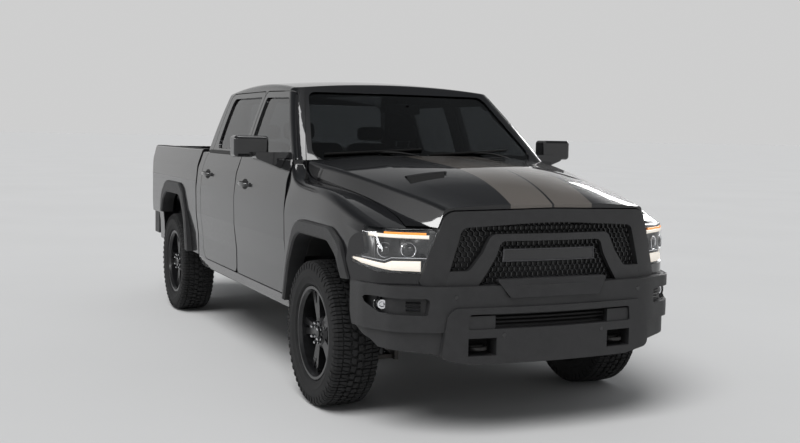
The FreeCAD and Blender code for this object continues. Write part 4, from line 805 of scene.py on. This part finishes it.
# Windscreen wipers, aerial and high brake lamp
# Two arms sweep up from the cowl with their blades along the foot of the glass. A whip aerial stands on
# the right fender, and a red lamp sits high on the back of the cab.
on_glass = caster("cab_glass")
for name, (x0, z0), (x1, z1), pivot in (("right", (-0.715, 1.425), (-0.075, 1.462), -0.040),
                                        ("left", (-0.045, 1.428), (0.600, 1.462), 0.620)):
    build = bmesh.new()
    blade = []
    for t in spread(0.0, 1.0, 24):
        place, normal = on_glass((x0 + (x1 - x0) * t, -2.4, z0 + (z1 - z0) * t), BACK, slope=True)
        if normal.y > 0:
            normal = -normal
        blade.append((place + normal * 0.006, UP.cross(normal).cross(normal).normalized(), normal))
    sweep(build, blade, [(-0.003, -0.006), (0.003, -0.006), (0.007, 0.006), (0.002, 0.012), (-0.002, 0.012),
                         (-0.007, 0.006)])
    middle = blade[len(blade) * 5 // 9][0]
    foot = on_glass((pivot, -2.4, 1.405), BACK) + Vector((0, -0.012, -0.004))
    arm = [foot.lerp(middle, t) + Vector((0, -0.010, 0.016)) * math.sin(math.pi * t)
           for t in spread(0.0, 1.0, 12)]
    sweep(build, run(arm, (0, 0.8, 0.6), Vector((0, -0.6, 0.8))),
          [(-0.009, -0.003), (0.009, -0.003), (0.007, 0.004), (-0.007, 0.004)])
    turned(build, [(-0.012, 0.017), (0.010, 0.015), (0.014, 0.010), (0.014, 0.0)], foot, (0, -0.35, 0.93), 20)
    add("wiper_" + name, build, [slot_black], "body", "plastic_black")
build = bmesh.new()
turned(build, [(-0.004, 0.017), (0.004, 0.016), (0.014, 0.009), (0.030, 0.006), (0.034, 0.0026),
               (0.520, 0.0014), (0.524, 0.0024), (0.530, 0.0)],
       caster("fender_right")((-0.900, -1.52, 2.2), DOWN), (0.0, 0.10, 0.99), 16)
add("aerial", build, [slot_black], "body", "plastic_black")
red_glow = finish("brake_red", (0.22, 0.006, 0.006), 0.15, vary=0.2, grain=90.0, Coat_Weight=0.8)
on_roof = caster("cab_roof", "cab_back")
build = bmesh.new()
sweep(build, run([on_roof((x, 1.6, 1.868), FORWARD) for x in spread(-0.17, 0.17, 12)], BACK),
      [(-0.004, -0.016), (0.006, -0.014), (0.009, 0.0), (0.006, 0.014), (-0.004, 0.016)])
add("high_brake_lamp", build, [red_glow], "body", "lamp_red")


# Bed and tail
# A sprayed liner in the bed, plastic caps along its rails, dark red tail lamps with a smoked reversing
# band, a black lever in the tailgate's recess, the pressed sill below it, and ribbed pads on the
# rear bumper's step.
bed_spray = finish("bed_spray", (0.012, 0.012, 0.0125), 0.75, vary=0.35, grain=40.0, bump=0.6,
                   bump_scale=260.0, cells=True)
dress(bed_spray, "bed_floor")
red_lens = finish("lamp_red", (0.115, 0.0025, 0.003), 0.10, vary=0.3, grain=120.0, bump=0.4, bump_scale=160.0,
                  cells=True, Coat_Weight=0.9)
BAND_Z, BAND_HALF = 1.212, 0.045


def in_band(sums, x, y, z):
    return sums("LESS_THAN", sums("ABSOLUTE", sums("SUBTRACT", z, BAND_Z)), BAND_HALF)


blend_by(red_lens, ((0.20, 0.195, 0.19), 0.12, 0.3), in_band)
dress(red_lens, "tail_lamps")
for side, s in SIDES:
    build = bmesh.new()
    sweep(build, run([(s * 0.890, y, 1.4125) for y in spread(0.925, 2.735, 24)], (s, 0, 0)),
          [(-0.048, -0.030), (-0.045, -0.002), (-0.036, 0.006), (0.020, 0.006), (0.030, 0.001),
           (0.030, -0.001), (-0.042, -0.001), (-0.045, -0.030)])
    add("rail_cap_" + side, build, [plastic], "body", "plastic_black")
gate_y = caster("tailgate")((0.0, 3.4, 1.312), FORWARD).y
build = bmesh.new()
block(build, (-0.296, gate_y - 0.002, 1.285), (0.296, gate_y + 0.003, 1.339), 0.002, 1)
sweep(build, run([(x, gate_y + 0.002, 1.314) for x in spread(-0.115, 0.115, 10)], BACK),
      [(0.0, -0.018), (0.005, -0.016), (0.007, 0.010), (0.004, 0.018), (0.0, 0.018)])
turned(build, [(0.0, 0.008), (0.006, 0.008), (0.007, 0.006), (0.005, 0.0)], (0.0, gate_y + 0.003, 1.300),
       BACK, 20, 1)
add("tailgate_lever", build, [gloss_black, slot_black], "tailgate", "plastic_black")
build = bmesh.new()
block(build, (-0.838, 2.655, 0.735), (0.838, 2.700, 0.895), 0.010)
for x in (-0.55, 0.0, 0.55):
    block(build, (x - 0.16, 2.697, 0.770), (x + 0.16, 2.706, 0.850), 0.004)
add("bed_sill", build, [paint], "body", "paint_black")
STEP_X = 0.600
rear_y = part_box("rear_bumper")[1].y
on_step = caster("rear_bumper")
for side, s in SIDES:
    rib = bmesh.new()
    block(rib, (-0.150, -0.006, 0.0), (0.150, 0.006, 0.005), 0.002)
    top_z = on_step((s * STEP_X, rear_y - 0.075, 2.0), DOWN).z
    rib.transform(Matrix.Translation((s * STEP_X, rear_y - 0.115, top_z - 0.001)))
    build = bmesh.new()
    repeat(build, rib, 4, plastic, step=(0, 0.019, 0))
    add("step_pad_" + side, build, [plastic], "body", "plastic_black")


# Glass
# Tinted panes in the cab and the doors, darker than clear glass but still open to the cabin.
glass = finish("glass_dark", (0.16, 0.17, 0.175), 0.02, vary=0.04, grain=3.0,
               Transmission_Weight=1.0, IOR=1.45)
dress(glass, "cab_glass", "door_glass_front_left", "door_glass_front_right", "door_glass_rear_left",
      "door_glass_rear_right")


# Front seats
# Black leather over foam: a crowned cushion and backrest with sewn cross channels, a raised bolster on
# each side, and a head restraint on two bright posts. The base is moulded plastic.
leather = finish("seat_leather", (0.018, 0.018, 0.019), 0.46, vary=0.3, grain=30.0, bump=0.35,
                 bump_scale=900.0, cells=True)
trim_grain = finish("soft_trim", (0.020, 0.020, 0.022), 0.6, vary=0.25, grain=20.0, bump=0.25,
                    bump_scale=1100.0, cells=True)


def pad(build, centre, half, lean=0.0, crown=0.25, power=5.0, channels=(), depth=0.10, pinch=0.05, mat=0):
    """A stuffed pad: a rounded block, crowned on its face and pulled in between corners, with channels."""
    part = bmesh.new()
    bmesh.ops.create_cube(part, size=2.0)
    bmesh.ops.subdivide_edges(part, edges=part.edges[:], cuts=15, use_grid_fill=True)
    for v in part.verts:
        p = v.co
        q = p / (abs(p.x) ** power + abs(p.y) ** power + abs(p.z) ** power) ** (1 / power)
        face = max(0.0, q.z)
        q.z *= 1 + crown * (1 - q.x * q.x) * (1 - q.y * q.y)
        for at in channels:
            q.z -= depth * face * math.exp(-((q.y - at) / 0.045) ** 2) * (1 - q.x ** 8)
        pull = pinch * (1 - q.z * q.z if abs(q.z) < 1 else 0.0)
        q.x *= 1 - pull * (1 - q.y * q.y)
        q.y *= 1 - pull * (1 - q.x * q.x)
        v.co = Vector((q.x * half[0], q.y * half[1], q.z * half[2] / (1 + crown)))
    part.transform(Matrix.Rotation(math.radians(lean), 4, "X"))
    part.transform(Matrix.Translation(centre))
    for face in part.faces:
        face.material_index = mat
    pour(build, part)


SEAT_X = 0.425
for side, s in SIDES:
    x = s * SEAT_X
    build = bmesh.new()
    pad(build, (x, -0.365, 0.862), (0.150, 0.268, 0.085), 3.0, channels=(-0.55, -0.18, 0.18, 0.55))
    pad(build, (x, -0.055, 1.180), (0.148, 0.295, 0.075), 77.0, channels=(-0.6, -0.3, 0.0, 0.3, 0.6))
    for edge in (-1, 1):
        pad(build, (x + edge * 0.166, -0.365, 0.872), (0.044, 0.266, 0.086), 3.0, crown=0.1, power=3.2)
        pad(build, (x + edge * 0.164, -0.065, 1.165), (0.044, 0.280, 0.088), 77.0, crown=0.1, power=3.2)
    pad(build, (x, 0.008, 1.575), (0.122, 0.072, 0.046), 80.0, crown=0.2, power=3.4, channels=(0.0,),
        depth=0.05)
    seat = add("seat_front_" + side, build, [leather], "body", "seat_cloth", "front_seats", sharp=70.0)
    build = bmesh.new()
    block(build, (x - 0.205, -0.625, 0.662), (x + 0.205, -0.085, 0.800), 0.030)
    block(build, (x - 0.198, -0.030, 0.880), (x + 0.198, 0.012, 1.440), 0.018, 0,
          Matrix.Rotation(math.radians(-6.5), 4, "X"))
    for post in (-0.055, 0.055):
        turned(build, [(0.0, 0.0), (0.0, 0.007), (0.090, 0.007), (0.090, 0.0)],
               (x + post, 0.008, 1.445), UP, 12, 1)
    add("seat_base_" + side, build, [trim_grain, bright_steel], "body", "trim_dark", "front_seats")


# Console
# A moulded box between the seats with a padded lid, two cup wells and a row of switches.
build = bmesh.new()
block(build, (-0.115, -0.985, 0.764), (0.115, -0.160, 0.950), 0.022)
for cup in (-0.048, 0.048):
    turned(build, [(-0.004, 0.044), (0.004, 0.044), (0.006, 0.041), (0.002, 0.037), (-0.004, 0.036),
                   (-0.004, 0.0)], (cup, -0.715, 0.952), UP, 32, 1)
for n in range(5):
    block(build, (-0.080 + 0.034 * n, -0.900, 0.948), (-0.056 + 0.034 * n, -0.872, 0.958), 0.003, 1)
add("console", build, [trim_grain, gloss_black], "body", "trim_dark", "front_seats")
build = bmesh.new()
pad(build, (0.0, -0.370, 0.972), (0.112, 0.200, 0.034), 0.0, crown=0.2, channels=(0.0,), depth=0.04)
lid = add("console_lid", build, [leather], "body", "seat_cloth", "front_seats", sharp=70.0)


# Rear bench
# Three places in the same leather, each with its own crowned cushion and backrest, on a plastic base
# that steps over the tunnel.
BENCH_X = 0.452
build = bmesh.new()
for x in (-BENCH_X, 0.0, BENCH_X):
    pad(build, (x, 0.462, 0.865), (0.222, 0.208, 0.072), 2.5, channels=(-0.4, 0.0, 0.4), depth=0.06)
    pad(build, (x, 0.715, 1.195), (0.222, 0.298, 0.058), 84.5, channels=(-0.5, -0.17, 0.17, 0.5), depth=0.06)
for x in (-BENCH_X, BENCH_X):
    pad(build, (x, 0.722, 1.562), (0.120, 0.062, 0.036), 84.5, crown=0.2, power=3.4)
bench = add("seat_rear", build, [leather], "body", "seat_cloth", "rear_seat", sharp=70.0)
build = bmesh.new()
for x0, x1, z in ((-0.672, -0.216, 0.662), (0.216, 0.672, 0.662), (-0.216, 0.216, 0.764)):
    block(build, (x0, 0.262, z), (x1, 0.762, 0.812), 0.012)
for x in (-BENCH_X, BENCH_X):
    for post in (-0.05, 0.05):
        turned(build, [(0.0, 0.0), (0.0, 0.006), (0.060, 0.006), (0.060, 0.0)], (x + post, 0.722, 1.470),
               UP, 12, 1)
add("bench_base", build, [trim_grain, bright_steel], "body", "trim_dark", "rear_seat")


# Dashboard and steering wheel
# Soft black plastic with a hooded pair of dials behind the wheel, an upright screen in the middle,
# slatted air outlets and a satin strip on the passenger's side. A round boss closes the wheel's hub,
# the floor has a carpet finish, and a mirror stands on the windscreen.
carpet = finish("carpet", (0.020, 0.020, 0.021), 0.95, vary=0.4, grain=200.0, bump=1.0, bump_scale=500.0)
dress(carpet, "cab_floor")
dress(trim_grain, "dashboard", "steering_column")
wheel_leather = finish("wheel_leather", (0.014, 0.014, 0.015), 0.42, vary=0.25, grain=40.0, bump=0.3,
                       bump_scale=1200.0, cells=True)
dress(wheel_leather, "steering_wheel")
dial_face = finish("dial_face", (0.035, 0.035, 0.040), 0.3, vary=0.3, grain=60.0, Coat_Weight=0.6)
on_dash = caster("dashboard")
build = bmesh.new()
for x in (0.352, 0.498):
    place = on_dash((x, -0.6, 1.225), FORWARD)
    turned(build, [(-0.004, 0.062), (0.012, 0.062), (0.014, 0.058), (0.006, 0.054), (0.004, 0.0)],
           place, (0, 0.97, 0.24), 40, 1)
    turned(build, [(0.0045, 0.050), (0.0050, 0.048), (0.0050, 0.0)], place, (0, 0.97, 0.24), 40, 2)
visor = [(SEAT_X + 0.175 * t, -1.085, 1.300 + 0.022 * (1 - t ** 4)) for t in spread(-1.0, 1.0, 20)]
sweep(build, run(visor, BACK),
      [(-0.06, -0.010), (0.050, 0.002), (0.056, 0.007), (0.050, 0.012), (-0.06, 0.004)])
for x in (-0.700, -0.190, 0.190, 0.700):
    y = on_dash((x, -0.6, 1.215), FORWARD).y
    block(build, (x - 0.060, y - 0.004, 1.180), (x + 0.060, y + 0.006, 1.252), 0.004, 1)
    for z in spread(1.192, 1.240, 4):
        block(build, (x - 0.052, y + 0.003, z - 0.0025), (x + 0.052, y + 0.012, z + 0.0025), 0.001)
strip = [on_dash((x, -0.6, 1.160), FORWARD) for x in spread(-0.620, -0.280, 12)]
sweep(build, run(strip, BACK),
      [(-0.002, -0.010), (0.004, -0.008), (0.005, 0.0), (0.004, 0.008), (-0.002, 0.010)], mat=3)
lean = Matrix.Rotation(math.radians(18), 4, "X")
block(build, (-0.108, -1.040, 1.045), (0.108, -1.020, 1.275), 0.006, 1, lean)
block(build, (-0.098, -1.0305, 1.055), (0.098, -1.0185, 1.265), 0.002, 2, lean)
add("dash_details", build, [trim_grain, gloss_black, dial_face, frame_metal], "body", "trim_dark")
build = bmesh.new()
boss = (SEAT_X, -0.880, 1.180)
column_line = (0, math.sin(math.radians(65)), math.cos(math.radians(65)))
turned(build, [(0.006, 0.0), (0.006, 0.078), (0.014, 0.078), (0.020, 0.070), (0.024, 0.045), (0.025, 0.0)],
       boss, column_line, 40)
turned(build, [(0.0245, 0.020), (0.0262, 0.018), (0.0262, 0.0)], boss, column_line, 32, 1)
add("wheel_boss", build, [wheel_leather, gloss_black], "steering_wheel", "trim_dark")
inside = on_glass((0.0, -0.2, 1.745), FORWARD)
build = bmesh.new()
block(build, (-0.125, inside.y + 0.060, 1.700), (0.125, inside.y + 0.078, 1.768), 0.008)
block(build, (-0.116, inside.y + 0.0775, 1.708), (0.116, inside.y + 0.0792, 1.760), 0.0006, 1)
turned(build, [(0.0, 0.016), (0.012, 0.012), (0.066, 0.007), (0.066, 0.0)], inside, (0, 1.0, -0.12), 16)
add("cabin_mirror", build, [trim_grain, mirror_glass], "body", "trim_dark")


# Door cards
# Moulded trim on the inside of each door: a soft panel with a raised armrest, a map pocket, a bright
# pull lever and a round speaker cover.
CARD_TOP_Z = 1.340
for door, y0, y1, z0, speaker_z in (("front", -1.230, -0.330, 0.700, 0.900),
                                    ("rear", -0.130, 0.500, 0.760, 0.930)):
    for side, s in SIDES:
        body = "door_%s_%s" % (door, side)
        meet = caster(body)
        build = bmesh.new()
        middle_y = (y0 + y1) / 2
        patch(build, meet, (middle_y, (z0 + CARD_TOP_Z) / 2), ((y1 - y0) / 2, (CARD_TOP_Z - z0) / 2),
              0.009, -s, 16, 24)
        x = meet((-s * ASIDE_X, middle_y, 1.120), (s, 0, 0)).x
        arm = [(x - s * (0.004 + 0.030 * (1 - abs(t) ** 5)), middle_y + 0.33 * (y1 - y0) * t,
                1.085 + 0.012 * t) for t in spread(-1.0, 1.0, 16)]
        sweep(build, run(arm, (s, 0, 0)), [(-0.020, -0.020), (-0.024, 0.006), (-0.014, 0.020), (0.030, 0.022),
                                           (0.030, -0.034), (-0.008, -0.034)], mat=1)
        block(build, (x - 0.014, y0 + 0.10, 0.800), (x + 0.014, y1 - 0.22, 0.860), 0.006, 0)
        turned(build, [(0.0, 0.078), (0.006, 0.078), (0.008, 0.072), (0.005, 0.066), (0.009, 0.0)],
               (x - s * 0.008, y0 + 0.14, speaker_z), (-s, 0, 0), 40, 2)
        pull_x = x - s * 0.016
        block(build, (pull_x - 0.006, y0 + 0.13, 1.190), (pull_x + 0.006, y0 + 0.24, 1.222), 0.004, 3)
        add("door_card_%s_%s" % (door, side), build, [trim_grain, leather, slot_black, frame_metal], body,
            "trim_dark")


# Under the hood
# A ribbed plastic cover over the engine, with the air filter box, battery and coolant bottle on
# both sides of it. A stiff moulded duct with ribs joins the cover to the filter box.
deck = caster("engine")((0.0, -1.95, 2.0), DOWN).z
build = bmesh.new()
block(build, (-0.250, -2.170, deck + 0.001), (0.250, -1.640, deck + 0.034), 0.018)
ridge = bmesh.new()
block(ridge, (-0.205, -0.012, 0.0), (0.205, 0.012, 0.012), 0.005)
ridge.transform(Matrix.Translation((0.0, -2.110, deck + 0.030)))
repeat(build, ridge, 8, gloss_black, step=(0, 0.058, 0))
turned(build, [(0.0, 0.040), (0.022, 0.040), (0.026, 0.036), (0.026, 0.0)], (0.150, -2.130, deck + 0.030),
       UP, 24, 1)
add("engine_cover", build, [trim_grain, slot_black], "body", "plastic_black")
bottle = finish("bottle", (0.42, 0.42, 0.38), 0.4, vary=0.1, grain=20.0)
build = bmesh.new()
block(build, (0.420, -2.150, 0.880), (0.640, -1.850, 1.080), 0.020)
block(build, (0.412, -2.158, 1.030), (0.648, -1.842, 1.046), 0.004)
block(build, (-0.640, -2.020, 0.900), (-0.440, -1.760, 1.075), 0.008, 1)
for y in (-1.980, -1.800):
    turned(build, [(0.0, 0.011), (0.018, 0.010), (0.018, 0.0)], (-0.500, y, 1.074), UP, 16, 2)
block(build, (-0.620, -2.330, 0.900), (-0.450, -2.130, 1.050), 0.030, 3)
turned(build, [(0.0, 0.030), (0.020, 0.030), (0.024, 0.026), (0.024, 0.0)], (-0.535, -2.230, 1.048),
       UP, 24, 1)
add("bay_boxes", build, [trim_grain, slot_black, bright_steel, bottle], "body", "plastic_black")
ARCH, SWELL = 0.030, 0.06
mouth, box_lid = Vector((0.215, -1.980, deck + 0.016)), Vector((0.500, -1.990, 1.078))
build = bmesh.new()
duct = []
for i, t in enumerate(spread(0.0, 1.0, 60)):
    slope = (box_lid - mouth + UP * (ARCH * math.pi * math.cos(math.pi * t))).normalized()
    side = Vector(BACK) * (1.0 + SWELL * (i % 2))
    duct.append((mouth.lerp(box_lid, t) + UP * (ARCH * math.sin(math.pi * t)), side, slope.cross(side)))
sweep(build, duct, circle(0.034, 16))
add("intake_duct", build, [slot_black], "body", "plastic_black")


# Floor, light and camera
# A pale floor and soft lamps round the truck give the black panels something to reflect. The camera
# stands where the photograph's lens and sight lines place it.
BACKDROP = 0.62
floor_mesh = bpy.data.meshes.new("floor")
build = bmesh.new()
bmesh.ops.create_grid(build, x_segments=1, y_segments=1, size=300.0)
build.to_mesh(floor_mesh)
build.free()
floor = stand("floor", floor_mesh)
floor_mesh.materials.append(finish("floor_pale", (BACKDROP,) * 3, 0.95, vary=0.015, grain=0.4,
                                   Specular_IOR_Level=0.0))

world = bpy.data.worlds.new("studio")
bpy.context.scene.world = world
world.use_nodes = True
tree = world.node_tree
tree.nodes.clear()
out, soft, pale, place, axes, height, ray, either, any_look, mix = [
    tree.nodes.new("ShaderNode" + kind) for kind in (
        "OutputWorld", "Background", "Background", "TexCoord", "SeparateXYZ", "ValToRGB", "LightPath",
        "Math", "Math", "MixShader")]
soft.inputs["Color"].default_value = (0.96, 0.98, 1.0, 1.0)
soft.inputs["Strength"].default_value = 0.36
for element, position, colour in zip(height.color_ramp.elements, (0.24, 0.62),
                                     ((BACKDROP, BACKDROP, BACKDROP, 1.0), (0.10, 0.105, 0.11, 1.0))):
    element.position, element.color = position, colour
either.operation = any_look.operation = "MAXIMUM"
for giver, given, taker, taken in (
    (place, "Generated", axes, "Vector"), (axes, "Z", height, "Fac"), (height, "Color", pale, "Color"),
    (ray, "Is Camera Ray", either, 0), (ray, "Is Glossy Ray", either, 1), (either, "Value", any_look, 0),
    (ray, "Is Transmission Ray", any_look, 1), (any_look, "Value", mix, "Fac"), (soft, "Background", mix, 1),
    (pale, "Background", mix, 2), (mix, "Shader", out, "Surface"),
):
    tree.links.new(giver.outputs[given], taker.inputs[taken])

sun = bpy.data.lights.new("sun", "SUN")
sun.energy = 2.45
sun.angle = math.radians(38)
sun_lamp = stand("sun", sun)
sun_lamp.rotation_euler = Vector((0.5, 0.45, -1.0)).to_track_quat("-Z", "Y").to_euler()
sun_lamp.visible_glossy = False
for name, place, size, power, aim in (
    ("long_side", (-7.5, 0.5, 3.4), (7.5, 0.7), 200.0, (-1.0, 0.0, 1.1)),
    ("near_front", (-3.5, -9.5, 4.4), (4.5, 0.8), 90.0, (-0.5, -2.6, 1.1)),
    ("over_hood", (0.6, -1.8, 6.5), (0.9, 6.0), 120.0, (0.3, -1.5, 1.2)),
    ("far_side", (6.5, 1.0, 4.0), (7.0, 0.8), 180.0, (0.9, 0.3, 1.3)),
):
    light = bpy.data.lights.new(name, "AREA")
    light.shape = "RECTANGLE"
    light.size, light.size_y = size
    light.energy = power
    lamp = stand(name, light)
    lamp.location = place
    lamp.rotation_euler = (Vector(aim) - Vector(place)).to_track_quat("-Z", "Y").to_euler()
    lamp.visible_diffuse = False

EYE, YAW, PITCH, ROLL = (-3.0499, -7.6135, 1.5677), 0.4271, -0.0819, 0.0189
FOCAL_PIXELS, PHOTO_PIXELS = 1068.3, 800.0
ahead = Vector((math.sin(YAW) * math.cos(PITCH), math.cos(YAW) * math.cos(PITCH), math.sin(PITCH)))
right = ahead.cross(UP).normalized()
up = right.cross(ahead)
level = math.cos(ROLL) * right + math.sin(ROLL) * up
crest = math.cos(ROLL) * up - math.sin(ROLL) * right
camera_data = bpy.data.cameras.new("camera")
camera_data.sensor_width = 36.0
camera_data.lens = FOCAL_PIXELS * camera_data.sensor_width / PHOTO_PIXELS
camera = stand("camera", camera_data)
camera.matrix_world = Matrix.Translation(EYE) @ Matrix((level, crest, -ahead)).transposed().to_4x4()
bpy.context.scene.camera = camera
bpy.context.scene.view_settings.view_transform = "Standard"
